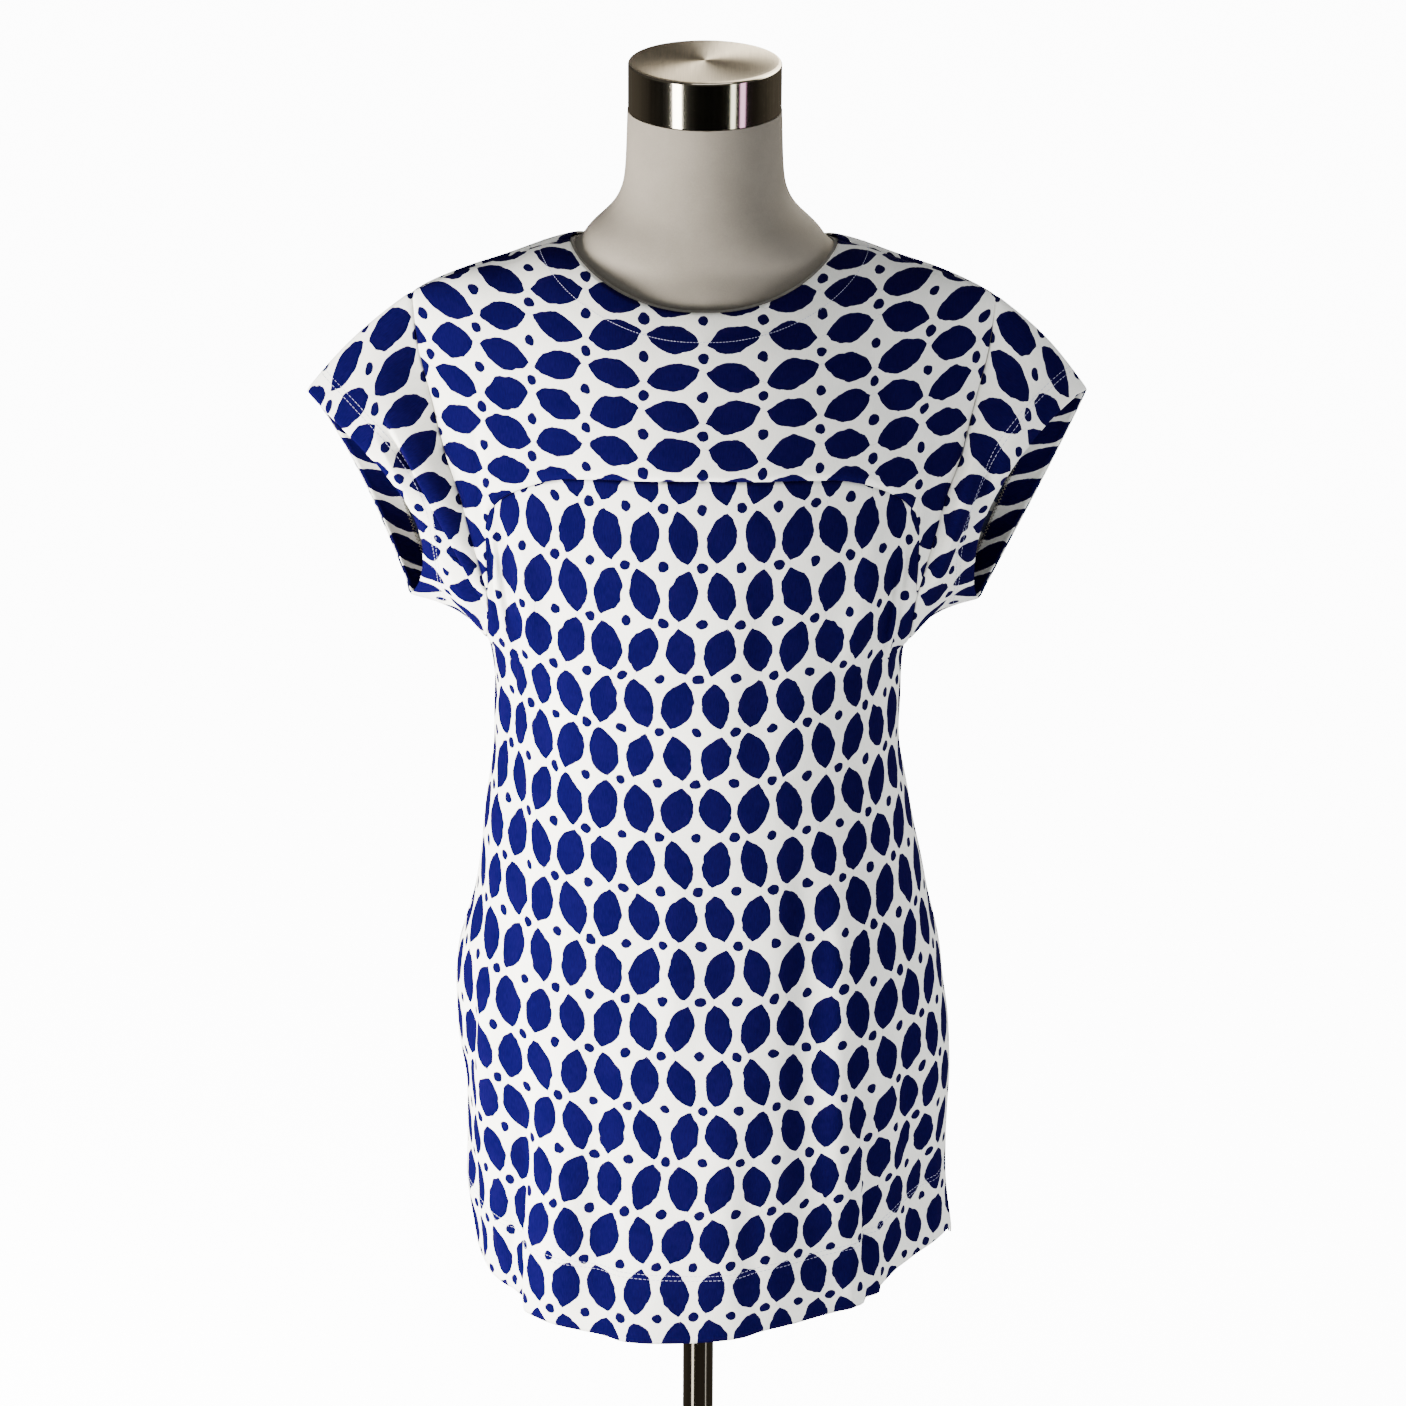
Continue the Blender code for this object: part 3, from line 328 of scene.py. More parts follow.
# Side line of the form from the underarm, over the rounded arm stump, to the neck
FORM_SIDE = table("height half_width", (0.785, 0.132), (0.83, 0.138), (0.88, 0.148), (0.94, 0.16),
                  (1.0, 0.169), (1.0275, 0.1695), (1.0405, 0.168), (1.0475, 0.1635),
                  (1.0515, 0.158), (1.0559, 0.145), (1.0586, 0.135), (1.062, 0.115),
                  (1.066, 0.096), (1.07, 0.0865), (1.075, 0.0835), (1.083, 0.0785), (1.09, 0.07),
                  (1.1, 0.0608), (1.115, 0.0552), (1.13, 0.0537), (1.1657, 0.0525))
# The neck's own section, which takes over from the chest at the neckline
NECK_RINGS = table(
    "height half_width front back",
    (0.98, 0.048, 0.03, 0.03),
    (1.03, 0.054, 0.056, 0.048),
    (1.058, 0.069, 0.0585, 0.052),
    (1.068, 0.083, 0.0575, 0.054),
    (1.071, 0.11, 0.0575, 0.055),
    (1.1, 0.11, 0.055, 0.0545),
    (1.13, 0.11, 0.0535, 0.0535),
    (1.1657, 0.11, 0.0525, 0.0525))

# Sewing, turned bands and edges, which only the looks have
CLOTH = 0.0011
BAND_WALL = 0.0008
SEAM_DIP = 0.0009
SEAM_DIP_WIDTH = 0.0016
SEAM_FADE = 0.0035
EDGE_ROLL = 0.0006
NECK_STITCH_IN = 0.021
HEM_STITCH_UP = 0.0550
CUFF_STITCH_IN = 0.0170
TWIN_SPACE = 0.0037
STITCH = 0.0022
STITCH_SPACE = 0.0009
STITCH_SHAPE = ((0.0, -1.4), (0.12, 0.1), (0.35, 0.75), (0.65, 0.75), (0.88, 0.1), (1.0, -1.4))
NECK_STITCH = 0.0013
THREAD = 0.00017
OVERLOCK_THREAD = 0.00025
OVERLOCK_STEP = 0.0013
OVERLOCK_SWING = 0.0014
HEM_BAND = 0.0585
CUFF_BAND = 0.0225
BAND_PRINT = 0.0100
HEM_BAND_PRINT = 0.02
BAND_GAP = 0.0013
SLEEVE_BACK_SHARE = 0.35
SLEEVE_FRONT_Y = 0.012
BINDING_INSIDE = 0.0020
BINDING_RADIUS = 0.0016
PRINT_RISE = 0.0195
PRINT_EASE = 0.65
EASE_REACH = 0.006
TURN_LENGTH = 0.3

# How the edges of the cloth fade and dip
SLEEVE_FADE = 0.004
YOKE_DIP = SEAM_DIP * 0.6
YOKE_FOLD_FADE = 1.6
NECK_REACH = 0.03
HEM_BAND_SHARES = np.linspace(0.01, 1.0, 12)
CUFF_BAND_SHARES = np.linspace(0.02, 1.0, 9)
BODY_SEAMS = ("left", "right", "top")
BODY_EDGES = {"top": SEAM_DIP, "left": SEAM_DIP, "right": SEAM_DIP, "bottom": EDGE_ROLL}
OVERLOCK_LIFT = 0.0006
OVERLOCK_IN = 0.0006
# Where the form's chest turns into its neck, how that fades, and the rows below and above it
NECK_TURN_Z = (1.020, 1.130)
NECK_TURN_FADE = (0.015, 0.03)
FORM_ROWS = (60, 50, 120)
# The grid on which the flat map above bust level is measured, and the turn from which a
# point's height places it better than its depth
MAP_REACH = 0.2
MAP_COLUMNS = 101
MAP_ROWS = 141
MAP_STEEP = 0.6
# The print
LEAF_PITCH = (0.0262, 0.0405)
LEAF_SIZE = (0.0212, 0.0376)
DOT_RADIUS = 0.0038
LEAF_POINT = 2.1
LEAF_FULL = 0.85
PRINT_SOFT = 0.00022
PRINT_SLOW = 95.0
PRINT_QUICK = 520.0
PRINT_WOBBLE = 0.0042
PRINT_RAGGED = 0.0009
LEAF_LEAN = 0.20
LEAF_LEAN_CHANCE = 0.14
WALES = 1500.0
COURSES = 190.0
KNIT_WIDTH = 0.00085
KNIT_HEIGHT = 0.00070
SATIN_CROWN = 1.1

# Camera and light, from the photo's viewing angle
FOCAL = 153.63
SENSOR = 36.0
PITCH_DOWN = math.radians(22.417)
ROLL = 0.0054
CAMERA_AT = (0.0, -3.9095, 2.3432)
SHIFT_X = 0.000996
SOFT_BOXES = table(
    "name azimuth distance width height at_z power colour aim_z gloss",
    ("key", -62.0, 1.6, 1.2, 0.66, 0.38, 237.0, (1.0, 0.975, 0.925), 0.60, False),
    ("fill", 55.0, 1.6, 1.2, 0.50, 0.30, 22.0, (0.97, 0.985, 1.0), 0.60, False),
    ("strip_left", -41.2, 2.0, 0.47, 1.1, 0.75, 47.0, (1.0, 0.96, 0.86), 0.75, True),
    ("strip_middle", 42.2, 2.0, 0.24, 1.1, 0.75, 4.6, (0.96, 1.0, 0.82), 0.75, True),
    ("strip_right", 57.6, 2.0, 0.29, 1.1, 0.75, 3.6, (1.0, 0.58, 0.92), 0.75, True),
    ("strip_top", 14.0, 1.1, 1.6, 0.5, 2.5, 6.5, (1.0, 0.97, 0.90), CAP_TOP_Z, True))
SKY_COLOUR = (0.93, 0.965, 1.0, 1.0)
SKY_FALL = {"From Min": -1.0, "From Max": 1.0, "To Min": 1.15, "To Max": 0.45}
FLOOR_GLOW = 12.0
FLOOR_REACH = 40.0
# The surround, and its panes: from one azimuth to another, in degrees, and their light
SURROUND_SEGMENTS = 180
SURROUND_HOLE = 0.17
SURROUND_LOW = 0.001
SURROUND_RADIUS = 2.6
SURROUND_HEIGHT = 1.5
SURROUND_PANES = ((-48.0, -33.0, (3.0, 2.85, 2.45, 1.0)), (55.0, 65.0, (0.80, 0.80, 0.76, 1.0)))
BLACK = (0.0, 0.0, 0.0, 1.0)


def smooth(rows, name, at):
    """Read one column of rows at any place in its first column, without overshoot."""
    place_name = rows[0]._fields[0]
    places = np.array([getattr(row, place_name) for row in rows])
    values = np.array([getattr(row, name) for row in rows])
    steps = np.diff(values) / np.diff(places)
    slopes = np.zeros(len(places))
    slopes[0] = steps[0]
    slopes[-1] = steps[-1]
    product = steps[:-1] * steps[1:]
    total = np.where(product > 0, steps[:-1] + steps[1:], 1.0)
    slopes[1:-1] = np.where(product > 0, 2.0 * product / total, 0.0)
    at = np.clip(np.asarray(at, float), places[0], places[-1])
    k = np.clip(np.searchsorted(places, at, side="right") - 1, 0, len(places) - 2)
    span = places[k + 1] - places[k]
    t = (at - places[k]) / span
    rise = t * t * (3.0 - 2.0 * t)
    start_bend = t * (1.0 - t) ** 2 * span * slopes[k]
    end_bend = t * t * (t - 1.0) * span * slopes[k + 1]
    return values[k] + (values[k + 1] - values[k]) * rise + start_bend + end_bend


def smoothstep(t):
    """Ease from 0 to 1."""
    t = np.clip(t, 0.0, 1.0)
    return t * t * (3.0 - 2.0 * t)


def unit(vectors):
    """Vectors made one metre long."""
    return vectors / np.maximum(np.linalg.norm(vectors, axis=-1, keepdims=True), 1e-12)


def run_length(points):
    """Distance along a line at each of its points."""
    return np.concatenate([[0.0], np.cumsum(np.linalg.norm(np.diff(points, axis=0), axis=1))])


def lengths(grid, axis):
    """Distance along the rows (axis 1) or up the columns (axis 0) of a grid."""
    lines = grid if axis == 1 else grid.swapaxes(0, 1)
    along = np.array([run_length(line) for line in lines])
    return along if axis == 1 else along.T


def at_places(points, places, wanted):
    """Points of a line at wanted places, when the place of each given point is known."""
    return np.stack([np.interp(wanted, places, column) for column in points.T], axis=-1)


def closed_up(points, axis=0):
    """A line, or rings, with the first point repeated at the end."""
    return np.concatenate([points, points.take([0], axis)], axis)


def normals_of(grid, closed=False, flip=False):
    """Unit normals of a grid, out of the shirt when flip says so for a mirrored piece."""
    if closed:
        wide = np.concatenate([grid[:, -1:], grid, grid[:, :1]], axis=1)
        across = 0.5 * (wide[:, 2:] - wide[:, :-2])
    else:
        across = np.gradient(grid, axis=1)
    normals = unit(np.cross(across, np.gradient(grid, axis=0)))
    return -normals if flip else normals


def moved_out(grid, height, closed=False, flip=False):
    """A grid with its points moved out along their normals."""
    return grid + normals_of(grid, closed, flip) * np.asarray(height)[..., None]


def shoulder_z(x):
    """Height of the shoulder line at a distance from the centre."""
    return smooth(SHOULDER_LINE, "height", np.abs(x))


def armhole_x(z):
    """Distance of the armhole seam from the centre at a height."""
    return smooth(ARMHOLE, "x", z)


def bust_depth(side, x):
    """Depth of the cloth at bust level."""
    last = SECTIONS[-1]
    ratio = np.clip(np.abs(x) / last.half_width, 0.0, 1.0)
    return getattr(last, side) * (1.0 - ratio**last.power) ** last.edge


def upper_point(side, x, turn):
    """Cloth above bust level: turn is 1 at bust level and 0 at the shoulder line."""
    angle = 0.5 * math.pi * np.clip(turn, 0.0, 1.0)
    power = 2.0 / SIDES[side].dome
    y = SIDES[side].outward * bust_depth(side, x) * np.sin(angle) ** power
    z = BUST_Z + (shoulder_z(x) - BUST_Z) * np.cos(angle) ** power
    return np.stack([x + 0.0 * y, y, z], axis=-1)


def turn_at_height(side, x, z):
    """Turn of the upper cloth at a height."""
    ratio = np.clip((z - BUST_Z) / (shoulder_z(x) - BUST_Z), 0.0, 1.0)
    return np.arccos(np.clip(ratio ** (SIDES[side].dome / 2.0), 0.0, 1.0)) / (0.5 * math.pi)


def turn_at_depth(side, x, depth):
    """Turn of the upper cloth at a depth in front of or behind the shoulder line."""
    ratio = np.clip(depth / np.maximum(bust_depth(side, x), 1e-6), 0.0, 1.0)
    return np.arcsin(np.clip(ratio ** (SIDES[side].dome / 2.0), 0.0, 1.0)) / (0.5 * math.pi)


def resample(points, fractions, trim=0.0):
    """Points at the given fractions of a line's length, after trimming both its ends."""
    along = run_length(points)
    wanted = trim + np.asarray(fractions) * (along[-1] - 2.0 * trim)
    return at_places(points, along, wanted)


def lower_row(side, height):
    """The cloth at one height up to bust level, from its left edge to its right edge."""
    row = {name: float(smooth(SECTIONS, name, height)) for name in SECTIONS[0]._fields[1:]}
    start = 0.0
    if height > UNDERARM_Z:
        start = math.acos(min(1.0, float(armhole_x(height)) / row["half_width"]))
    angle = np.linspace(math.pi - start, start, DENSE)
    place = np.cos(angle)
    peak = row["peak"] if side == "front" else 0.0
    right = place > peak
    share = np.where(right, (place - peak) / (1.0 - peak), (peak - place) / (1.0 + peak))
    edge = np.where(right & (side == "front"), row["right_edge"], row["edge"])
    depth = row[side] * np.clip(1.0 - share ** row["power"], 0.0, 1.0) ** edge
    lowness = np.clip((UNDERARM_Z - height) / (UNDERARM_Z - HEM_Z), 0.0, 1.0)
    z = height - SIDES[side].hem_dip * (np.sin(angle) * lowness) ** 2
    x = row["centre"] + row["half_width"] * place
    return np.stack([x, SIDES[side].outward * depth, z], axis=1)


def chest_row(rise):
    """Front cloth between bust level, at 0, and the yoke seam, at 1."""
    corner = YOKE_DOWN[-1]
    edge_z = BUST_Z + rise * (corner.height - BUST_Z)
    edge_x = float(smooth(YOKE_DOWN, "x", edge_z))
    x = np.linspace(-edge_x, edge_x, DENSE)
    seam_z = smooth(YOKE_ACROSS, "height", np.abs(x) * corner.x / edge_x)
    z = BUST_Z + rise * (seam_z - BUST_Z)
    return upper_point("front", x, turn_at_height("front", x, z))


def column_fractions(count):
    """Places of the columns across a panel, closer together towards the sides."""
    t = np.linspace(0.0, 1.0, count + 1)
    return t - COLUMN_SPREAD * np.sin(2.0 * math.pi * t)


def line_places(line, points):
    """Share of a straight line at which points lie, and how far to its side they are."""
    run = np.array([line.x1 - line.x0, line.z1 - line.z0])
    length = np.linalg.norm(run)
    run /= length
    x = points[..., 0] - line.x0
    z = points[..., 2] - line.z0
    return (x * run[0] + z * run[1]) / length, x * run[1] - z * run[0]


def ridges(points, lines, ends):
    """How far soft straight folds stand out of the cloth at points of a piece."""
    height = np.zeros(points.shape[:-1])
    past, ease = ends
    for line in lines:
        along, away = line_places(line, points)
        fade = smoothstep((along + past) / ease) * smoothstep((1.0 + past - along) / ease)
        height += line.depth * fade * np.exp(-np.abs(away / line.width) ** line.power)
    return height


def uneven(points):
    """How far the cloth's slight waves stand out at points of a piece."""
    x = points[..., 0]
    z = points[..., 2]
    return sum(w.height * np.sin(w.across * x + w.up * z + w.phase) for w in WAVES)


def steps_out(points, steps):
    """How far sharp folds stand out of the cloth at points of a piece."""
    height = np.zeros(points.shape[:-1])
    for step in steps:
        along, away = line_places(step, points)
        past = np.maximum(-step.side * away, 0.0) / step.reach
        fall = np.maximum(1.0 - past, 0.0) if step.even else np.exp(-past)
        rise = smoothstep(-step.side * away / step.sharp + 0.5) * fall
        height += step.height * rise * smoothstep((along + 0.05) / step.grow)
    return height


def crinkled(grid, creases, fade, closed=False, flip=False, steps=(), steps_fade=1.0):
    """A grid with its small creases, sharp folds and unevenness."""
    height = uneven(grid) + ridges(grid, creases, CREASE_ENDS) + steps_out(grid, steps) * steps_fade
    return moved_out(grid, height * fade, closed, flip)


def edge_reach(grid):
    """How far each point of a grid is from its four named edges."""
    up = lengths(grid, 0)
    across = lengths(grid, 1)
    return {"top": up[-1] - up, "bottom": up, "left": across, "right": across[:, -1:] - across}


def edge_fade(grid, width, edges):
    """0 at the named edges of a grid and 1 away from them."""
    reach = edge_reach(grid)
    return smoothstep(np.min([reach[edge] for edge in edges], axis=0) / width)


def rolled(grid, edges, flip=False):
    """A grid whose named edges dip into a seam or turn in over a hem."""
    reach = edge_reach(grid)
    dips = [dip * np.exp(-reach[edge] / SEAM_DIP_WIDTH) for edge, dip in edges.items()]
    return moved_out(grid, -np.max(dips, axis=0), flip=flip)


def side_fade(grid):
    """0 at the two sides of a grid of rows and 1 away from them."""
    return edge_fade(grid, FOLD_FADE, ("left", "right"))


def folded(grid, side, folds, fade):
    """A grid with its large folds, which fade where fade is 0."""
    return moved_out(grid, ridges(grid, folds, FOLD_ENDS) * fade, flip=side == "back")


def body_rows(side, fractions):
    """Rows of a body panel from the hem to bust level."""
    heights = [*np.linspace(HEM_Z, UNDERARM_Z, LOWER_ROWS + 1),
               *np.linspace(UNDERARM_Z, BUST_Z, UNDERARM_ROWS + 1)[1:]]
    return [resample(lower_row(side, height), fractions, SEAM_GAP / 2.0) for height in heights]


def front_grid():
    """Rows of the front, from the hem to the yoke seam, without folds."""
    fractions = column_fractions(PANEL_COLUMNS)
    rows = body_rows("front", fractions)
    for rise in np.linspace(0.0, 1.0, CHEST_ROWS + 1)[1:]:
        rows.append(resample(chest_row(rise), fractions, SEAM_GAP / 2.0))
    return np.array(rows)


def even_stretch(line, count):
    """Evenly spaced points along a line of x and turn."""
    along = run_length(line * np.array([1.0, TURN_LENGTH]))
    return at_places(line, along, np.linspace(0.0, along[-1], count + 1))


def neckline(side, count):
    """Right half of the neckline as x and turn, from the centre to the shoulder seam."""
    angle = np.linspace(0.5 * math.pi, 0.0, DENSE)
    x = NECK_HALF_WIDTH * np.cos(angle)
    along = np.maximum(SIDES[side].neck * np.sin(angle), SHOULDER_GAP / 2.0)
    return even_stretch(np.stack([x, turn_at_depth(side, x, along)], axis=1), count)


def shoulder_seam(side, count):
    """Right shoulder seam as x and turn, from the neckline to the armhole."""
    x = np.linspace(NECK_HALF_WIDTH, ARMHOLE[-1].x - SEAM_GAP / 2.0, count + 1)
    return np.stack([x, turn_at_depth(side, x, SHOULDER_GAP / 2.0)], axis=1)


def armhole_edge(side, low, count):
    """Right armhole edge as x and turn, from the shoulder down to a height."""
    z = np.linspace(ARMHOLE[-1].height, low, DENSE)
    x = armhole_x(z) - SEAM_GAP / 2.0
    turn = np.maximum(turn_at_height(side, x, z), turn_at_depth(side, x, SHOULDER_GAP / 2.0))
    return even_stretch(np.stack([x, turn], axis=1), count)


def mirrored(line):
    """A line from the centre to the right side, made to run from left to right."""
    return np.concatenate([(line * np.array([-1.0, 1.0]))[::-1], line[1:]])


def back_grid():
    """Rows of the back, from the hem to the shoulder seams and the neckline, without folds."""
    rows = body_rows("back", column_fractions(2 * BACK_SHOULDER_COLUMNS + BACK_NECK_COLUMNS))
    bust_x = rows[-1][:, 0]
    neck = neckline("back", BACK_NECK_COLUMNS // 2)
    top = mirrored(np.concatenate([neck, shoulder_seam("back", BACK_SHOULDER_COLUMNS)[1:]]))
    edge = armhole_edge("back", BUST_Z, DENSE)
    even = np.linspace(0.0, 1.0, len(edge))
    edge_x = np.interp(np.linspace(1.0, edge[0, 1], len(edge)), edge[:, 1], edge[:, 0])
    centre_turn = np.linspace(1.0, neck[0, 1], DENSE)
    along = run_length(upper_point("back", np.zeros(DENSE), centre_turn))
    places = np.linspace(0.0, along[-1] - BACK_EDGE_STEPS[0], BACK_UPPER_ROWS)[1:-1]
    places = [*places, *(along[-1] - step for step in BACK_EDGE_STEPS)]
    for climb in np.interp(places, along, np.linspace(0.0, 1.0, DENSE)):
        mixed = (1.0 - climb) * bust_x + climb * top[:, 0]
        x = mixed * np.interp(climb, even, edge_x) / np.abs(mixed).max()
        rows.append(upper_point("back", x, 1.0 - (1.0 - top[:, 1]) * climb))
    return np.array(rows)


def yoke_grid(front):
    """Rows of the yoke, from the front's upper edge out to the armholes, shoulders and neck."""
    middle = PANEL_COLUMNS // 2
    down = front[BUST_ROW + 1 : -1, -1][::-1]
    seam = np.concatenate([front[-1, middle:], down])[:, [0, 2]]
    direction = unit(np.gradient(seam, axis=0))
    seam = seam + SEAM_GAP * np.stack([-direction[:, 1], direction[:, 0]], axis=1)
    seam[0, 0] = 0.0
    inner = np.stack([seam[:, 0], turn_at_height("front", seam[:, 0], seam[:, 1])], axis=1)
    outer = np.concatenate([
        neckline("front", YOKE_NECK_COLUMNS),
        shoulder_seam("front", middle - YOKE_NECK_COLUMNS)[1:],
        armhole_edge("front", front[BUST_ROW + 1, -1, 2], len(down))[1:]])
    inner = mirrored(inner)
    outer = mirrored(outer)
    places = [inner + (outer - inner) * share for share in YOKE_SHARES]
    return np.array([upper_point("front", place[:, 0], place[:, 1]) for place in places])


def armhole_loop(front, yoke, back):
    """The right armhole from the shoulder, down the front and up the back to the shoulder."""
    columns = CHEST_ROWS - 1
    top = 0.5 * (yoke[-1, -1 - columns] + back[-1, -1])
    bottom = 0.5 * (front[LOWER_ROWS, -1] + back[LOWER_ROWS, -1])
    front_side = [*yoke[-1, -columns:], *front[LOWER_ROWS + 1 : BUST_ROW + 1, -1][::-1]]
    back_side = list(back[LOWER_ROWS + 1 : -1, -1])
    return np.array([top, *front_side, bottom, *back_side]), len(front_side) + 1


def cuff_point(side, cuff, share):
    """A point of a right cuff, at a share of the way from its top to its bottom."""
    top = np.array([cuff.top_x, 0.0, cuff.top_z])
    bottom = np.array([cuff.bottom_x, 0.0, cuff.bottom_z])
    chord = unit(bottom - top)
    inward = np.array([chord[2], 0.0, -chord[0]])
    swell = max(0.0, math.sin(math.pi * share)) ** CUFF_FULLNESS
    skewed = max(0.0, math.sin(math.pi * share**cuff.skew)) ** CUFF_FULLNESS
    point = top + (bottom - top) * share
    if side == "front":
        return point + inward * cuff.scoop * skewed - np.array([0.0, cuff.front * swell, 0.0])
    return point - inward * cuff.swell * swell + np.array([0.0, cuff.back * swell, 0.0])


def sleeve(hand, front, yoke, back):
    """Rings of a sleeve, from its armhole seam to its cuff."""
    if hand == "left":
        mirror = np.array([-1.0, 1.0, 1.0])
        front, yoke, back = (grid[:, ::-1] * mirror for grid in (front, yoke, back))
    loop, bottom = armhole_loop(front, yoke, back)
    along = run_length(closed_up(loop))
    steps = np.linspace(0.0, 1.0, SLEEVE_ROWS + 1)[:, None]
    columns = []
    for k, start in enumerate(loop):
        side = "front" if k <= bottom else "back"
        share = along[k] / along[bottom]
        if side == "back":
            share = (along[-1] - along[k]) / (along[-1] - along[bottom])
        end = cuff_point(side, CUFFS[hand], share)
        gap = SLEEVE_GAP_TOP + (SLEEVE_GAP_BOTTOM - SLEEVE_GAP_TOP) * share**2
        start = start + unit(end - start) * gap
        lift = SLEEVE_TOP_BULGE * math.cos(0.5 * math.pi * share) ** 2
        swell = SIDES[side].outward * SLEEVE_BULGE * math.sin(math.pi * share)
        arch = SLEEVE_UNDER_ARCH * smoothstep(4.0 * share - 3.0)
        bulge = np.array([0.5 * lift, swell, lift + arch])
        columns.append(start + (end - start) * steps + bulge * np.sin(math.pi * steps))
    grid = np.stack(columns, axis=1)
    if hand == "left":
        grid[..., 0] *= -1.0
    return grid


def neck_facing(yoke, back):
    """Rings of the facing, inside the neckline, with columns at the panels' own points."""
    first = (yoke.shape[1] - 1) // 2 - YOKE_NECK_COLUMNS
    front_edge = yoke[-1, first : first + 2 * YOKE_NECK_COLUMNS + 1]
    back_edge = back[-1, BACK_SHOULDER_COLUMNS:-BACK_SHOULDER_COLUMNS][::-1]
    seams = 0.5 * (front_edge[[0, -1]] + back_edge[[-1, 0]])
    edge = np.array([seams[0], *front_edge[1:-1], seams[1], *back_edge[1:-1]])
    low = []
    for x, y, _ in edge:
        side = "front" if y < 0.0 else "back"
        depth = SIDES[side].neck
        angle = math.atan2(abs(y) / depth, x / NECK_HALF_WIDTH)
        low_x = np.array((NECK_HALF_WIDTH + FACING_WIDTH) * math.cos(angle))
        low_y = (depth + FACING_WIDTH) * math.sin(angle)
        low.append(upper_point(side, low_x, turn_at_depth(side, low_x, low_y)))
    ring = np.array([low, edge])
    rise = unit(ring[1] - ring[0])
    normals = unit(np.cross(np.roll(ring, -1, axis=1) - np.roll(ring, 1, axis=1), rise))
    normals *= np.where(normals[..., 2:] < 0.0, -1.0, 1.0)
    low, edge = ring - normals * (WALL + FACING_GAP)
    turned_in = [low + (edge - low) * t for t in (0.0, 0.3, 0.6, 0.85)]
    return np.array([*turned_in, *(edge + rise * FACING_RISE * t for t in (0.0, 0.5, 1.0))])


def rounded(share, power=2):
    """Height of a rounded end, 1 in the middle and 0 where the share is 1."""
    return math.sqrt(max(0.0, 1.0 - share**power))


def torso_depth(side, x, height, half):
    """Depth of the form's chest or back, inside the cloth."""
    nearness = float(smoothstep((NECK_REST_X - abs(x)) / NECK_REST_FADE))
    raised = height + FORM_REST + (FORM_NECK_REST - FORM_REST) * nearness
    ridge = float(shoulder_z(x))
    if raised >= ridge:
        return 0.0
    climb = max(0.0, (raised - BUST_Z) / (ridge - BUST_Z))
    depth = float(bust_depth(side, x))
    if climb > 0.0:
        depth = abs(float(upper_point(side, np.array(x), turn_at_height(side, x, raised))[1]))
    depth *= 1.0 - FORM_SLACK_LOW + (FORM_SLACK_LOW - FORM_SLACK_HIGH) * climb
    depth *= rounded(x / half, FORM_FLAT)
    ring = float(smooth(FORM_RINGS, side, UNDERARM_Z)) * rounded(x / half)
    upper = float(smoothstep((height - UNDERARM_Z) / (BUST_Z + BUST_EASE - UNDERARM_Z)))
    return ring + (depth - ring) * upper


def form_depth(side, x, height, half):
    """Depth of the dress form above the underarm, where the chest turns into the neck."""
    torso = torso_depth(side, x, height, half)
    neck_half = min(half, float(smooth(NECK_RINGS, "half_width", height)))
    neck = float(smooth(NECK_RINGS, side, height)) * rounded(x / neck_half)
    hole = SIDES[side].neck - FACING_RISE - FORM_NECK_MARGIN
    hole *= rounded(x / (NECK_HALF_WIDTH - FACING_RISE))
    blend = (torso**NECK_BLEND + neck**NECK_BLEND) ** (1.0 / NECK_BLEND)
    return min(blend, max(torso, hole))


def form_ring(height):
    """One ring of the dress form."""
    points = []
    for angle in np.linspace(0.0, 2.0 * math.pi, FORM_COLUMNS, endpoint=False):
        c = math.cos(angle)
        s = math.sin(angle)
        side = "front" if s < 0.0 else "back"
        if height > UNDERARM_Z:
            half = float(smooth(FORM_SIDE, "half_width", height))
            x = half * c
            y = SIDES[side].outward * form_depth(side, x, height, half)
        else:
            power = 2.0 / float(smooth(FORM_RINGS, "power", height))
            half = float(smooth(FORM_RINGS, "half_width", height))
            x = half * math.copysign(abs(c) ** power, c)
            y = float(smooth(FORM_RINGS, side, height)) * math.copysign(abs(s) ** power, s)
        points.append((x, y, height))
    return points


def eased(rings, heights):
    """Rings with the turn from the chest to the neck softened."""
    low = smoothstep((heights - NECK_TURN_Z[0]) / NECK_TURN_FADE[0])
    high = smoothstep((NECK_TURN_Z[1] - heights) / NECK_TURN_FADE[1])
    spread = np.exp(-(((heights[:, None] - heights[None, :]) / EASE_REACH) ** 2))
    spread /= spread.sum(axis=1, keepdims=True)
    soft = np.einsum("ij,jkc->ikc", spread, rings[..., :2])
    rings = rings.copy()
    rings[..., :2] += (soft - rings[..., :2]) * (low * high)[:, None, None]
    return rings


def finer(grid, times):
    """Closed rings with more columns, on smooth curves through their points."""
    before, after, beyond = (np.roll(grid, k, axis=1) for k in (1, -1, -2))
    columns = []
    for t in np.arange(times) / times:
        columns.append(0.5 * (2.0 * grid + (after - before) * t
                              + (2.0 * before - 5.0 * grid + 4.0 * after - beyond) * t**2
                              + (3.0 * grid - before - 3.0 * after + beyond) * t**3))
    return np.stack(columns, axis=2).reshape(len(grid), -1, 3)


def signed_across(grid):
    """Arc length along the rows, from the middle column."""
    across = lengths(grid, 1)
    middle = across.shape[1] // 2
    return across - across[:, middle : middle + 1]


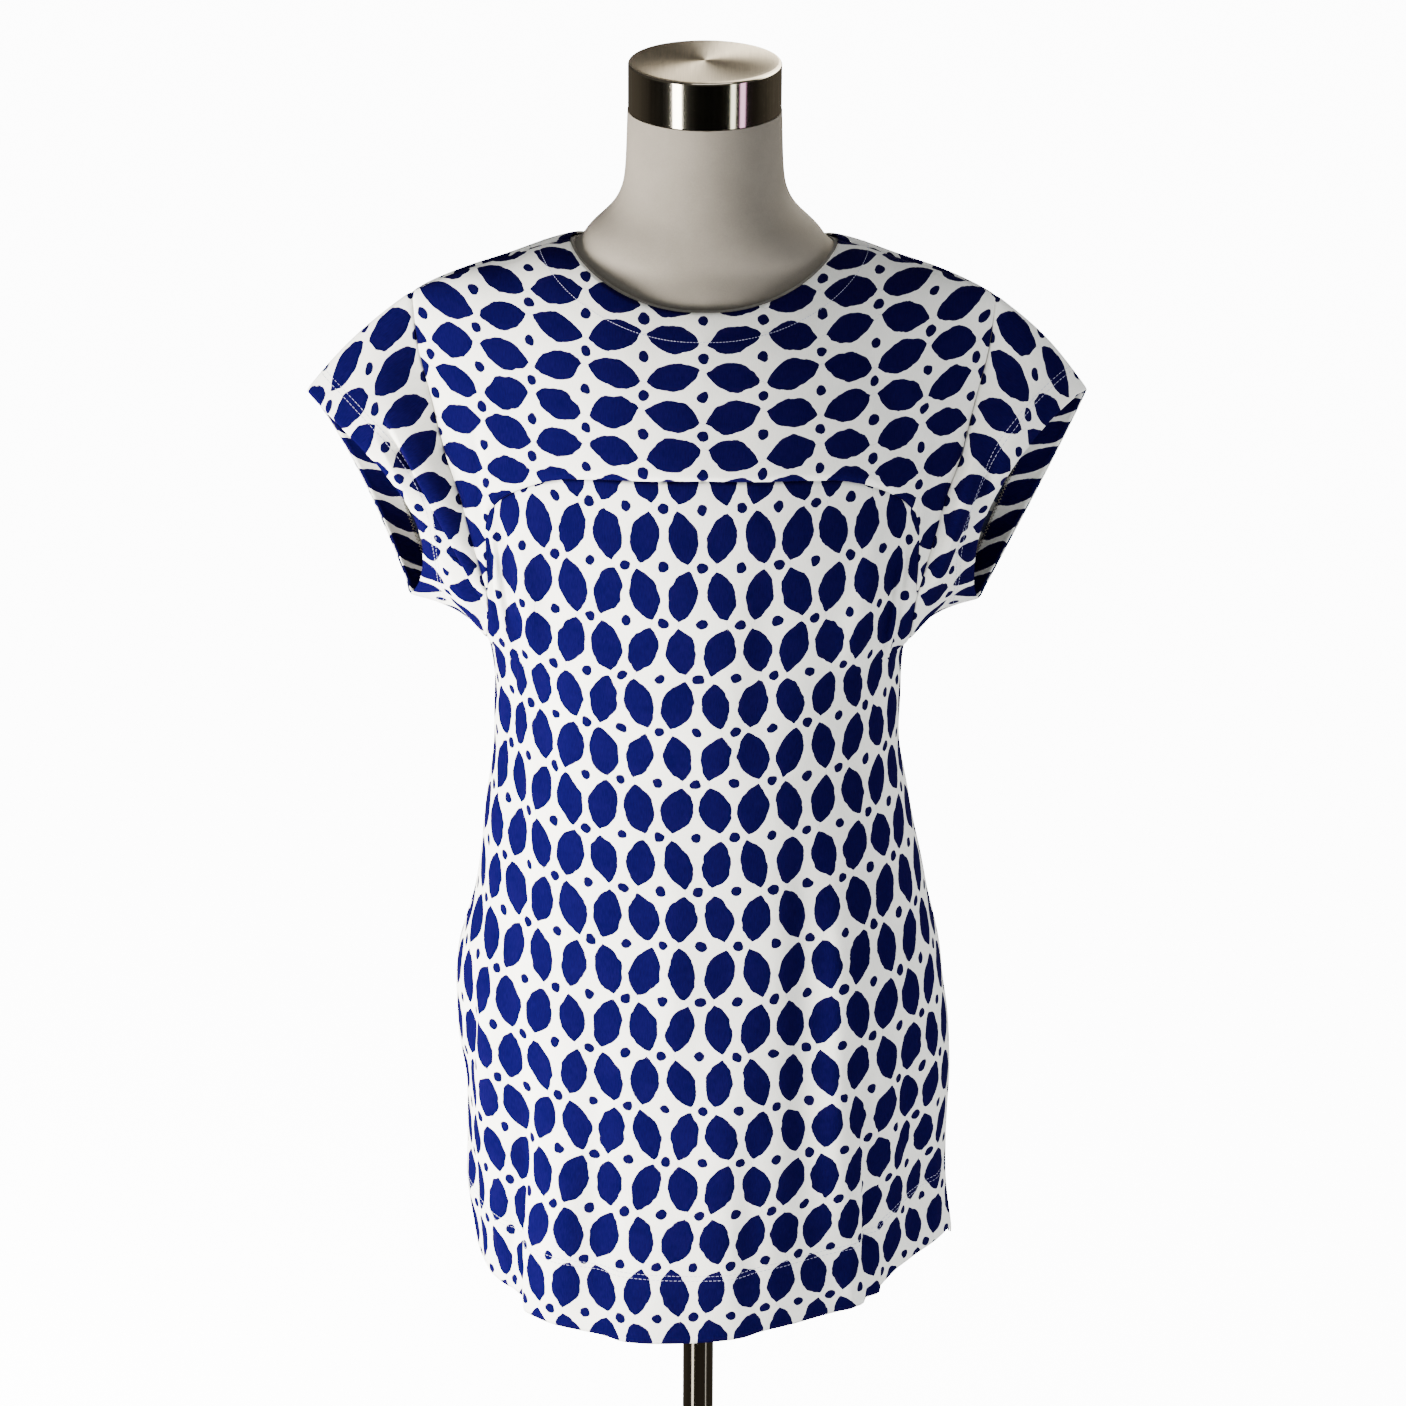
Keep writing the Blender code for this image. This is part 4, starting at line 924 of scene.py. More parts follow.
def chest_map(side, points):
    """Where points above bust level lie on a flat cut."""
    x = np.linspace(0.0, MAP_REACH, MAP_COLUMNS)
    turn = np.linspace(1.0, 0.0, MAP_ROWS)
    sample = upper_point(side, *np.meshgrid(x, turn))
    high = turn_at_height(side, points[..., 0], points[..., 2])
    low = turn_at_depth(side, points[..., 0], np.abs(points[..., 1]))
    at_turn = np.where(high > MAP_STEEP, high, low)
    c = np.clip(np.abs(points[..., 0]), 0.0, MAP_REACH) / (x[1] - x[0])
    r = (1.0 - at_turn) * (MAP_ROWS - 1)
    ci = np.clip(c.astype(int), 0, MAP_COLUMNS - 2)
    ri = np.clip(r.astype(int), 0, MAP_ROWS - 2)
    cf = c - ci
    rf = r - ri
    found = []
    for field in (lengths(sample, 1), lengths(sample, 0)):
        rows = [field[k, ci] * (1.0 - cf) + field[k, ci + 1] * cf for k in (ri, ri + 1)]
        found.append(rows[0] * (1.0 - rf) + rows[1] * rf)
    return np.stack([np.sign(points[..., 0]) * found[0], found[1]], axis=2)


def body_map(side, plain, fine):
    """Where points of a body panel lie on its flat cut: across, and up from the hem."""
    chest = chest_map(side, plain)
    line = plain[:, plain.shape[1] // 2]
    along = run_length(line)
    low = line[:, 2] <= BUST_Z + 1e-6
    up = np.interp(plain[..., 2], line[low, 2], along[low])
    above = plain[..., 2] > BUST_Z
    up = np.where(above, along[low][-1] + chest[..., 1], up)
    across = signed_across(fine)
    if side == "back":
        across = np.where(above, chest[..., 0], across)
    return np.stack([across, up + PRINT_RISE], axis=2)


def sleeve_map(grid, top):
    """Where points of a sleeve lie on its flat cut, across from the column at its top."""
    closed = closed_up(grid, 1)
    around = lengths(closed, 1)
    girth = around[:, -1:]
    even = PRINT_EASE * girth.mean() / girth + 1.0 - PRINT_EASE
    return np.stack([(around - around[:, top : top + 1]) * even, lengths(closed, 0)], axis=2)


def made(name, points, faces):
    """A new mesh object in the scene."""
    mesh = bpy.data.meshes.new(name)
    mesh.from_pydata(points, [], faces)
    item = bpy.data.objects.new(name, mesh)
    bpy.context.scene.collection.objects.link(item)
    return item


def surface(name, grid, places=None, closed=False, flip=False, capped=False):
    """A mesh of quads through a grid of rows, with its flat map in the UVs."""
    index = np.arange(grid.shape[0] * grid.shape[1]).reshape(grid.shape[:2])
    if closed:
        index = closed_up(index, 1)
    r, c = np.meshgrid(np.arange(len(index) - 1), np.arange(index.shape[1] - 1), indexing="ij")
    corners = [(r, c), (r, c + 1), (r + 1, c + 1), (r + 1, c)]
    if flip:
        corners = corners[::-1]
    faces = np.stack([index[a, b].ravel() for a, b in corners], axis=1).tolist()
    if capped:
        faces += [index[0, :-1][::-1].tolist(), index[-1, :-1].tolist()]
    item = made(name, grid.reshape(-1, 3).tolist(), faces)
    if places is not None:
        uv = np.stack([places[a, b].reshape(-1, 2) for a, b in corners], axis=1)
        layer = item.data.uv_layers.new(name="flat")
        layer.data.foreach_set("uv", uv.reshape(-1).astype(np.float32))
    item.data.shade_smooth()
    return item


def dress(item, materials, nodes=()):
    """Give a piece its materials and the CAD nodes that it stands for."""
    for material in materials:
        item.data.materials.append(material)
    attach(item, "root")
    if nodes:
        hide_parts(*nodes)
    return item


def walled(item, wall):
    """Give a surface the thickness of its cloth."""
    thick = item.modifiers.new("wall", "SOLIDIFY")
    thick.thickness = wall
    thick.offset = 0.0
    return thick


def cloth(name, grid, places, materials, closed=False, flip=False, wall=CLOTH, nodes=()):
    """A piece of cloth, print outside and its reverse inside."""
    item = surface(name, grid, places, closed, flip)
    thick = walled(item, wall)
    if len(materials) > 1:
        thick.material_offset = 1
    return dress(item, materials, nodes)


def tree_of(grid, closed=False, flip=False):
    """A search tree over a grid, for laying thread on it."""
    item = surface("guide", grid, None, closed, flip)
    mesh = item.data
    tree = BVHTree.FromPolygons([v.co[:] for v in mesh.vertices],
                                [tuple(p.vertices) for p in mesh.polygons])
    bpy.data.objects.remove(item, do_unlink=True)
    bpy.data.meshes.remove(mesh)
    return tree


def inset(grid, distance, last=False):
    """The line on a grid at a distance in from its first row, or from its last one."""
    columns = (grid[::-1] if last else grid).swapaxes(0, 1)
    return np.array([at_places(column, run_length(column), distance) for column in columns])


def spaced(line, step):
    """Evenly spaced points along a line."""
    count = max(2, int(round(run_length(line)[-1] / step)))
    return resample(line, np.linspace(0.0, 1.0, count + 1))


def laid(tree, points, lift):
    """Points moved on to a surface and out of it, with the surface's normals there."""
    spots = []
    normals = []
    for point in points:
        spot, normal, _, _ = tree.find_nearest(Vector(point))
        spots.append(np.array(spot) + np.array(normal) * lift)
        normals.append(np.array(normal))
    return np.array(spots), np.array(normals)


def tube_mesh(parts, radius):
    """Vertices and faces of short tubes through the points of each part."""
    angle = 2.0 * math.pi * np.arange(THREAD_SIDES)[:, None] / THREAD_SIDES
    points = []
    faces = []
    for centres, normals in parts:
        tangent = unit(np.gradient(centres, axis=0))
        side = unit(np.cross(tangent, normals))
        top = np.cross(side, tangent)
        offset = side[:, None] * np.cos(angle) + top[:, None] * np.sin(angle)
        index = np.arange(len(centres) * THREAD_SIDES).reshape(len(centres), THREAD_SIDES)
        index = closed_up(index + len(points), 1)
        quads = [index[:-1, :-1], index[:-1, 1:], index[1:, 1:], index[1:, :-1]]
        points += (centres[:, None] + radius * offset).reshape(-1, 3).tolist()
        faces += np.stack(quads, axis=-1).reshape(-1, 4).tolist()
        faces += [index[0, :-1][::-1].tolist(), index[-1, :-1].tolist()]
    return points, faces


def stitches(tree, line, length=STITCH):
    """The stitches of one row of sewing, as tube parts on a surface."""
    knots = spaced(line, length + STITCH_SPACE)
    share = length / (length + STITCH_SPACE)
    along, rise = np.array(STITCH_SHAPE).T[..., None]
    parts = []
    for a, b in zip(knots[:-1], knots[1:]):
        spots, normals = laid(tree, a + (b - a) * share * along, CLOTH * 0.5)
        parts.append((spots + normals * rise * THREAD, normals))
    return parts


def sewn(name, parts, material, radius=THREAD):
    """One piece from the tube parts of several rows of sewing."""
    item = made(name, *tube_mesh(parts, radius))
    item.data.shade_smooth()
    return dress(item, [material])


def overlock(tree, line):
    """Overlock thread along a line: a zigzag, as one tube part."""
    knots = spaced(line, OVERLOCK_STEP)
    _, normals = laid(tree, knots, 0.0)
    side = unit(np.cross(unit(np.gradient(knots, axis=0)), normals))
    swing = np.where(np.arange(len(knots)) % 2 == 0, OVERLOCK_SWING, -OVERLOCK_SWING)
    return [laid(tree, knots + side * swing[:, None], OVERLOCK_LIFT)]


def rounded_corner(radius, top, edge, steps=4):
    """Points over a rounded outer edge, from the flat top to the side."""
    angles = [0.5 * math.pi * k / steps for k in range(steps + 1)]
    return [(radius - edge + edge * math.sin(angle), top - edge + edge * math.cos(angle))
            for angle in angles]


def turned(name, profile, materials, node, split=None):
    """A turned piece of the stand from its profile, top to bottom at +X, closed on the axis."""
    profile = [(AXIS_HOLE, profile[0][1]), *profile, (AXIS_HOLE, profile[-1][1])]
    angle = np.linspace(0.0, 2.0 * math.pi, ROUND_STEPS, endpoint=False)
    rings = [np.stack([r * np.cos(angle), r * np.sin(angle), np.full(ROUND_STEPS, z)], axis=1)
             for r, z in profile[::-1]]
    item = surface(name, np.array(rings), closed=True)
    if split is not None:
        for face in item.data.polygons:
            face.material_index = 1 if face.center.z > split else 0
    item.data.set_sharp_from_angle(angle=SHARP_STEEL)
    return dress(item, materials, [node])


class Nodes:
    """Short calls for making a material's nodes."""

    def __init__(self, name):
        self.material = bpy.data.materials.new(name)
        self.material.use_nodes = True
        self.tree = self.material.node_tree
        self.shader = self.tree.nodes["Principled BSDF"]

    def add(self, kind, **settings):
        node = self.tree.nodes.new(kind)
        for key, value in settings.items():
            setattr(node, key, value)
        return node

    def join(self, source, target):
        self.tree.links.new(source, target)

    def put(self, socket, value):
        if isinstance(value, bpy.types.NodeSocket):
            self.join(value, socket)
        elif value is not None:
            socket.default_value = value

    def math(self, operation, a, b=None, c=None, clamp=False):
        node = self.add("ShaderNodeMath", operation=operation, use_clamp=clamp)
        for socket, value in zip(node.inputs, (a, b, c)):
            self.put(socket, value)
        return node.outputs[0]

    def vector(self, operation, a, b=None, scale=None):
        node = self.add("ShaderNodeVectorMath", operation=operation)
        self.put(node.inputs[0], a)
        self.put(node.inputs[1], b)
        if scale is not None:
            self.put(node.inputs["Scale"], scale)
        return node.outputs["Value" if operation in ("LENGTH", "DOT_PRODUCT") else 0]

    def combine(self, x, y, z=0.0):
        node = self.add("ShaderNodeCombineXYZ")
        for socket, value in zip(node.inputs, (x, y, z)):
            self.put(socket, value)
        return node.outputs[0]

    def split(self, vector):
        node = self.add("ShaderNodeSeparateXYZ")
        self.join(vector, node.inputs[0])
        return node.outputs[0], node.outputs[1], node.outputs[2]

    def place(self):
        return self.add("ShaderNodeTexCoord").outputs["Object"]

    def noise(self, vector, scale, detail=2.0, roughness=0.5):
        node = self.add("ShaderNodeTexNoise")
        self.put(node.inputs["Vector"], vector)
        node.inputs["Scale"].default_value = scale
        node.inputs["Detail"].default_value = detail
        node.inputs["Roughness"].default_value = roughness
        return node.outputs["Fac"], node.outputs["Color"]

    def mix(self, factor, a, b):
        node = self.add("ShaderNodeMix", data_type="RGBA")
        self.put(node.inputs["Factor"], factor)
        self.put(node.inputs["A"], a)
        self.put(node.inputs["B"], b)
        return node.outputs["Result"]

    def ramp(self, value, low, high):
        node = self.add("ShaderNodeMapRange", clamp=True)
        node.interpolation_type = "SMOOTHSTEP"
        self.put(node.inputs["Value"], value)
        node.inputs["From Min"].default_value = low
        node.inputs["From Max"].default_value = high
        return node.outputs["Result"]

    def bump(self, height, strength, distance):
        node = self.add("ShaderNodeBump")
        node.inputs["Strength"].default_value = strength
        node.inputs["Distance"].default_value = distance
        self.join(height, node.inputs["Height"])
        self.join(node.outputs["Normal"], self.shader.inputs["Normal"])

    def set(self, **values):
        for name, value in values.items():
            self.put(self.shader.inputs[name.replace("_", " ")], value)


def cell(n, value, pitch, shift):
    """Number of the cell in which a value lies, and the distance from the cell's middle."""
    moved = n.math("ADD", value, shift)
    number = n.math("FLOOR", moved)
    share = n.math("SUBTRACT", n.math("SUBTRACT", moved, number), 0.5)
    return number, n.math("MULTIPLY", share, pitch)


def leaf_print(n, place):
    """Factor of the leaf and dot print at a place on the flat cut: 1 where it is blue."""
    _, slow = n.noise(place, PRINT_SLOW, 1.0)
    _, quick = n.noise(place, PRINT_QUICK, 2.0, 0.6)
    wobble = n.vector("SCALE", n.vector("SUBTRACT", slow, (0.5, 0.5, 0.5)), scale=PRINT_WOBBLE)
    ragged = n.vector("SCALE", n.vector("SUBTRACT", quick, (0.5, 0.5, 0.5)), scale=PRINT_RAGGED)
    x, y, _ = n.split(n.vector("ADD", n.vector("ADD", place, wobble), ragged))
    a = n.math("DIVIDE", x, LEAF_PITCH[0])
    b = n.math("DIVIDE", y, LEAF_PITCH[1])
    i, u = cell(n, a, LEAF_PITCH[0], 0.0)
    j, v = cell(n, b, LEAF_PITCH[1], 0.0)
    chance = n.add("ShaderNodeTexWhiteNoise", noise_dimensions="2D")
    n.join(n.combine(i, j), chance.inputs["Vector"])
    wide, tall, lean = n.split(chance.outputs["Color"])
    parity = n.math("FLOORED_MODULO", n.math("ADD", i, j), 2.0)
    side = n.math("MULTIPLY_ADD", parity, 2.0, -1.0)
    angle = n.math("MULTIPLY_ADD", n.math("SUBTRACT", lean, 0.5), LEAF_LEAN_CHANCE,
                   n.math("MULTIPLY", side, LEAF_LEAN))
    turn = n.add("ShaderNodeVectorRotate", rotation_type="Z_AXIS")
    n.join(n.combine(u, v), turn.inputs["Vector"])
    n.join(angle, turn.inputs["Angle"])
    p, q, _ = n.split(turn.outputs[0])
    half_wide = n.math("MULTIPLY", LEAF_SIZE[0] / 2, n.math("MULTIPLY_ADD", wide, 0.20, 0.88))
    half_tall = n.math("MULTIPLY", LEAF_SIZE[1] / 2, n.math("MULTIPLY_ADD", tall, 0.10, 0.93))
    t = n.math("DIVIDE", n.math("ABSOLUTE", q), half_tall, clamp=True)
    swell = n.math("POWER", n.math("SUBTRACT", 1.0, n.math("POWER", t, LEAF_POINT)), LEAF_FULL)
    leaf = n.math("SUBTRACT", n.math("MULTIPLY", half_wide, swell), n.math("ABSOLUTE", p))
    _, du = cell(n, a, LEAF_PITCH[0], 0.5)
    _, dv = cell(n, b, LEAF_PITCH[1], 0.5)
    dot = n.math("SUBTRACT", DOT_RADIUS, n.vector("LENGTH", n.combine(du, dv)))
    return n.ramp(n.math("MAXIMUM", leaf, dot), -PRINT_SOFT, PRINT_SOFT)


def jersey(name, sideways, reverse=False):
    """Printed cotton jersey, its print upright or on its side, or the reverse of it, which is
    darkened with painted shade.
    """
    n = Nodes(name)
    uv = n.add("ShaderNodeUVMap", uv_map="flat").outputs[0]
    x, y, _ = n.split(uv)
    place = n.combine(y, x) if sideways else n.combine(x, y)
    mask = leaf_print(n, place)
    wale = n.combine(n.math("MULTIPLY", x, WALES), n.math("MULTIPLY", y, COURSES))
    streak, _ = n.noise(wale, 1.0, 2.0, 0.6)
    cloud, _ = n.noise(uv, 38.0, 3.0, 0.6)
    tone = n.math("ADD", n.math("MULTIPLY", streak, 0.7), n.math("MULTIPLY", cloud, 0.3))
    tone = n.ramp(tone, 0.30, 0.70)
    # The reverse shows the print paler, as it comes through the knit. Its whole colour is also
    # darkened as painted shade, since it shows only inside the cuffs and hem, where shade falls.
    if reverse:
        blue = n.mix(tone, (0.035, 0.040, 0.085, 1.0), (0.055, 0.062, 0.120, 1.0))
        white = n.mix(tone, (0.33, 0.325, 0.31, 1.0), (0.40, 0.39, 0.37, 1.0))
    else:
        blue = n.mix(tone, (0.0017, 0.0003, 0.0220, 1.0), (0.0034, 0.0012, 0.0330, 1.0))
        white = n.mix(tone, (0.770, 0.755, 0.700, 1.0), (0.835, 0.822, 0.770, 1.0))
    n.set(Base_Color=n.mix(mask, white, blue), Roughness=0.9, Specular_IOR_Level=0.012)
    knit = n.math("MULTIPLY", n.math("SINE", n.math("MULTIPLY", x, 2 * math.pi / KNIT_WIDTH)),
                  n.math("SINE", n.math("MULTIPLY", y, 2 * math.pi / KNIT_HEIGHT)))
    fuzz, _ = n.noise(uv, 2600.0, 3.0, 0.6)
    n.bump(n.math("ADD", n.math("MULTIPLY", knit, 0.35), fuzz), 0.28, 0.00025)
    return n.material


def plain_jersey(name, low, high):
    """Plain fine jersey."""
    n = Nodes(name)
    place = n.place()
    cloud, _ = n.noise(place, 90.0, 3.0, 0.6)
    fuzz, _ = n.noise(place, 2200.0, 3.0, 0.6)
    n.set(Base_Color=n.mix(n.ramp(cloud, 0.3, 0.7), low, high), Roughness=0.9,
          Sheen_Weight=0.15, Sheen_Roughness=0.5, Specular_IOR_Level=0.2)
    n.bump(fuzz, 0.3, 0.0003)
    return n.material


def form_cover():
    """Matt, faintly mottled light cover of the dress form."""
    n = Nodes("form_cover")
    place = n.place()
    cloud, _ = n.noise(place, 16.0, 4.0, 0.62)
    grain, _ = n.noise(place, 900.0, 3.0, 0.6)
    shade = n.math("ADD", n.math("MULTIPLY", cloud, 0.7), n.math("MULTIPLY", grain, 0.3))
    n.set(Base_Color=n.mix(n.ramp(shade, 0.32, 0.68), (0.138, 0.122, 0.099, 1.0),
                           (0.168, 0.148, 0.122, 1.0)), Specular_IOR_Level=0.12)
    n.set(Roughness=n.math("MULTIPLY_ADD", grain, 0.10, 0.58))
    n.bump(grain, 0.16, 0.0004)
    return n.material


def steel(name, low, high, roughness, lines, relief_height, brushed=False):
    """Steel with fine lines, polished or satin."""
    n = Nodes(name)
    x, y, z = n.split(n.place())
    around = n.combine(n.math("MULTIPLY", x, lines[0]), n.math("MULTIPLY", y, lines[1]),
                       n.math("MULTIPLY", z, lines[2]))
    line, _ = n.noise(around, 1.0, 3.0, 0.6)
    n.set(Base_Color=n.mix(n.ramp(line, 0.3, 0.7), low, high), Metallic=1.0)
    n.set(Roughness=n.math("MULTIPLY_ADD", line, roughness * 0.5, roughness * 0.75))
    if not brushed:
        n.bump(line, relief_height, 0.0002)
        return n.material
    flat = n.combine(x, y)
    crown = n.math("MULTIPLY", n.vector("DOT_PRODUCT", flat, flat), -SATIN_CROWN)
    n.bump(n.math("MULTIPLY_ADD", line, 0.00001, crown), 1.0, 1.0)
    swirl = n.add("ShaderNodeTangent", direction_type="RADIAL", axis="Z")
    n.join(swirl.outputs[0], n.shader.inputs["Tangent"])
    n.set(Anisotropic=0.8)
    return n.material


def floor_material():
    """Plain pale studio floor with a barely visible mottle."""
    n = Nodes("studio_floor")
    place = n.place()
    cloud, _ = n.noise(place, 1.2, 3.0, 0.5)
    n.set(Base_Color=n.mix(cloud, (0.90, 0.90, 0.90, 1.0), (0.93, 0.93, 0.93, 1.0)),
          Roughness=0.95, Specular_IOR_Level=0.1, Emission_Color=(1.0, 1.0, 1.0, 1.0),
          Emission_Strength=FLOOR_GLOW)
    return n.material


def surround_cloth():
    """Dim walls of the surround, brighter high up behind the right side."""
    n = Nodes("surround_cloth")
    place = n.place()
    cloud, _ = n.noise(place, 1.6, 2.0)
    x, y, z = n.split(place)
    back = n.ramp(n.math("ADD", y, cloud), -0.9, 2.6)
    dim = n.mix(back, (0.003, 0.0027, 0.0021, 1.0), (0.105, 0.090, 0.068, 1.0))
    right = n.ramp(x, 0.0, 0.75)
    glow = n.math("MULTIPLY", n.math("MULTIPLY", right, right), n.ramp(y, -0.4, 1.0))
    high = n.mix(glow, (0.08, 0.072, 0.060, 1.0), (9.6, 8.9, 7.4, 1.0))
    n.set(Base_Color=BLACK, Roughness=1.0, Specular_IOR_Level=0.0,
          Emission_Color=n.mix(n.ramp(z, 0.9, 1.35), dim, high), Emission_Strength=1.0)
    return n.material


def surround_pane(name, colour):
    """A bright pane in the floor of the surround."""
    n = Nodes(name)
    mottle, _ = n.noise(n.place(), 3.0, 2.0)
    n.set(Base_Color=BLACK, Roughness=1.0, Specular_IOR_Level=0.0, Emission_Color=colour,
          Emission_Strength=n.math("MULTIPLY_ADD", mottle, 0.1, 0.95))
    return n.material


def dark_surround():
    """A dim room seen only in the gloss of the steel, with two bright panes in its floor."""
    rings = [(SURROUND_HOLE, SURROUND_LOW), (SURROUND_RADIUS, SURROUND_LOW)]
    for turn in np.linspace(0.0, 0.5 * math.pi, 9):
        rings.append((max(0.01, SURROUND_RADIUS * math.cos(turn)),
                      SURROUND_HEIGHT * (1.0 + math.sin(turn))))
    angles = [2.0 * math.pi * k / SURROUND_SEGMENTS for k in range(SURROUND_SEGMENTS + 1)]
    points = [(r * math.sin(a), -r * math.cos(a), z) for a in angles for r, z in rings]
    faces = []
    slots = []
    for k in range(SURROUND_SEGMENTS):
        middle = math.degrees((angles[k] + angles[k + 1]) / 2.0)
        middle = middle - 360.0 if middle > 180.0 else middle
        pane = [low < middle < high for low, high, _ in SURROUND_PANES]
        for level in range(len(rings) - 1):
            a = len(rings) * k + level
            faces.append((a, a + 1, a + len(rings) + 1, a + len(rings)))
            slots.append(1 + pane.index(True) if level == 0 and any(pane) else 0)
    item = made("surround", points, faces)
    item.data.materials.append(surround_cloth())
    for k, (_, _, colour) in enumerate(SURROUND_PANES):
        item.data.materials.append(surround_pane("surround_pane_" + str(k + 1), colour))
    for face, slot in zip(item.data.polygons, slots):
        face.material_index = slot
    item.visible_camera = False
    item.visible_diffuse = False
    item.visible_shadow = False
    item.visible_transmission = False


def camera():
    """The photo's camera."""
    data = bpy.data.cameras.new("camera")
    data.lens = FOCAL
    data.sensor_width = SENSOR
    data.shift_x = SHIFT_X
    data.clip_end = 60.0
    item = bpy.data.objects.new("camera", data)
    bpy.context.scene.collection.objects.link(item)
    tilt = Matrix.Rotation(0.5 * math.pi - PITCH_DOWN, 4, "X") @ Matrix.Rotation(ROLL, 4, "Z")
    item.matrix_world = Matrix.Translation(CAMERA_AT) @ tilt
    bpy.context.scene.camera = item


def soft_box(box):
    """A soft box that lights either the cloth or the gloss of the steel."""
    light = bpy.data.lights.new(box.name, "AREA")
    light.shape = "RECTANGLE"
    light.size = box.width
    light.size_y = box.height
    light.energy = box.power
    light.color = box.colour
    item = bpy.data.objects.new(box.name, light)
    turn = math.radians(box.azimuth)
    place = Vector((box.distance * math.sin(turn), -box.distance * math.cos(turn), box.at_z))
    item.location = place
    aim = Vector((0.0, 0.0, box.aim_z)) - place
    item.rotation_euler = aim.to_track_quat("-Z", "Y").to_euler()
    item.visible_diffuse = not box.gloss
    item.visible_glossy = box.gloss
    bpy.context.scene.collection.objects.link(item)


def world():
    """A soft sky that is brighter below than above."""
    item = bpy.data.worlds.new("soft_studio")
    bpy.context.scene.world = item
    item.use_nodes = True
    nodes = item.node_tree.nodes
    links = item.node_tree.links
    sky = nodes["Background"]
    aim = nodes.new("ShaderNodeSeparateXYZ")
    links.new(nodes.new("ShaderNodeTexCoord").outputs["Generated"], aim.inputs[0])
    fall = nodes.new("ShaderNodeMapRange")
    links.new(aim.outputs["Z"], fall.inputs["Value"])
    for name, value in SKY_FALL.items():
        fall.inputs[name].default_value = value
    links.new(fall.outputs["Result"], sky.inputs["Strength"])
    sky.inputs["Color"].default_value = SKY_COLOUR


def studio():
    """Camera, lights and floor."""
    camera()
    for box in SOFT_BOXES:
        soft_box(box)
    dark_surround()
    world()
    corners = [(-1, -1), (1, -1), (1, 1), (-1, 1)]
    floor = made("floor", [(x * FLOOR_REACH, y * FLOOR_REACH, 0.0) for x, y in corners],
                 [(0, 1, 2, 3)])
    floor.data.materials.append(floor_material())
    floor.visible_diffuse = False
    floor.visible_glossy = False


def hem_dropped(front):
    """The front with its hem let down where the photo shows it lower."""
    share = np.clip(1.0 - lengths(front, 0) / HEM_DROP_REACH, 0.0, 1.0) ** 1.5
    drop = np.zeros(front.shape[:2])
    for wave in HEM_DROPS:
        away = (front[..., 0] - wave.x) * wave.side
        fall = np.exp(-np.maximum(away, 0.0) / wave.reach)
        drop += wave.drop * smoothstep(away / wave.soft + 0.5) * fall
    front = front.copy()
    front[..., 2] -= drop * share
    return front


def neck_line(side, distance):
    """Points on one side of the shirt at a distance out from the neckline."""
    reach = np.linspace(0.0, NECK_REACH, 40)
    line = []
    for angle in np.linspace(0.0, math.pi, 61):
        x = (NECK_HALF_WIDTH + reach) * math.cos(angle)
        y = (SIDES[side].neck + reach) * math.sin(angle)
        path = upper_point(side, x, turn_at_depth(side, x, y))
        line.append(at_places(path, run_length(path), distance))
    return np.array(line)


def closed_form():
    """The dress form as one closed fine piece."""
    levels = (FORM_BOTTOM_Z, UNDERARM_Z, NECK_TURN_Z[0], FORM_TOP_Z)
    heights = np.array([levels[0], *(
        height for low, high, count in zip(levels[:-1], levels[1:], FORM_ROWS)
        for height in np.linspace(low, high, count)[1:])])
    rings = np.array([form_ring(float(height)) for height in heights])
    item = surface("dress_form_cover", eased(rings, heights), closed=True, capped=True)
    item.data.set_sharp_from_angle(angle=SHARP_FORM)
    return dress(item, [form_cover()], ["dress_form"])


def stand(polished, satin):
    """Cap, flange, pole and base."""
    shoulder = CAP_TOP_Z - CAP_DOME
    cap_low = CAP_TOP_Z - CAP_HEIGHT
    shares = [k / CORNER_STEPS for k in range(1, CORNER_STEPS)]
    top = [(CAP_RADIUS * share, CAP_TOP_Z - CAP_DOME * share**2) for share in shares]
    cap = [*top, *rounded_corner(CAP_RADIUS, shoulder, CAP_EDGE, CORNER_STEPS),
           (CAP_RADIUS, cap_low + CAP_BEVEL), (CAP_RADIUS - CAP_BEVEL, cap_low)]
    turned("cap", cap, [polished, satin], "neck_cap", shoulder - CAP_EDGE * SATIN_SHARE)
    flange_top = FORM_BOTTOM_Z - SEAM_GAP
    flange_low = flange_top - FLANGE_THICKNESS
    socket_low = flange_top - COLLAR_HEIGHT
    flange = [*rounded_corner(FLANGE_RADIUS, flange_top, FLANGE_EDGE, 6),
              (FLANGE_RADIUS, flange_low), (COLLAR_RADIUS, flange_low),
              (COLLAR_RADIUS, socket_low)]
    turned("flange", flange, [polished], "form_flange")
    bar = [(POLE_RADIUS, socket_low + POLE_INSERT), (POLE_RADIUS, BASE_THICKNESS)]
    turned("pole_bar", bar, [polished], "pole")
    collar = rounded_corner(COLLAR_RADIUS, BASE_THICKNESS + COLLAR_HEIGHT, COLLAR_EDGE)
    base = [*collar, (COLLAR_RADIUS, BASE_THICKNESS),
            *rounded_corner(BASE_RADIUS, BASE_THICKNESS, BASE_EDGE, CORNER_STEPS),
            (BASE_RADIUS, 0.0)]
    turned("base", base, [polished], "base_plate")


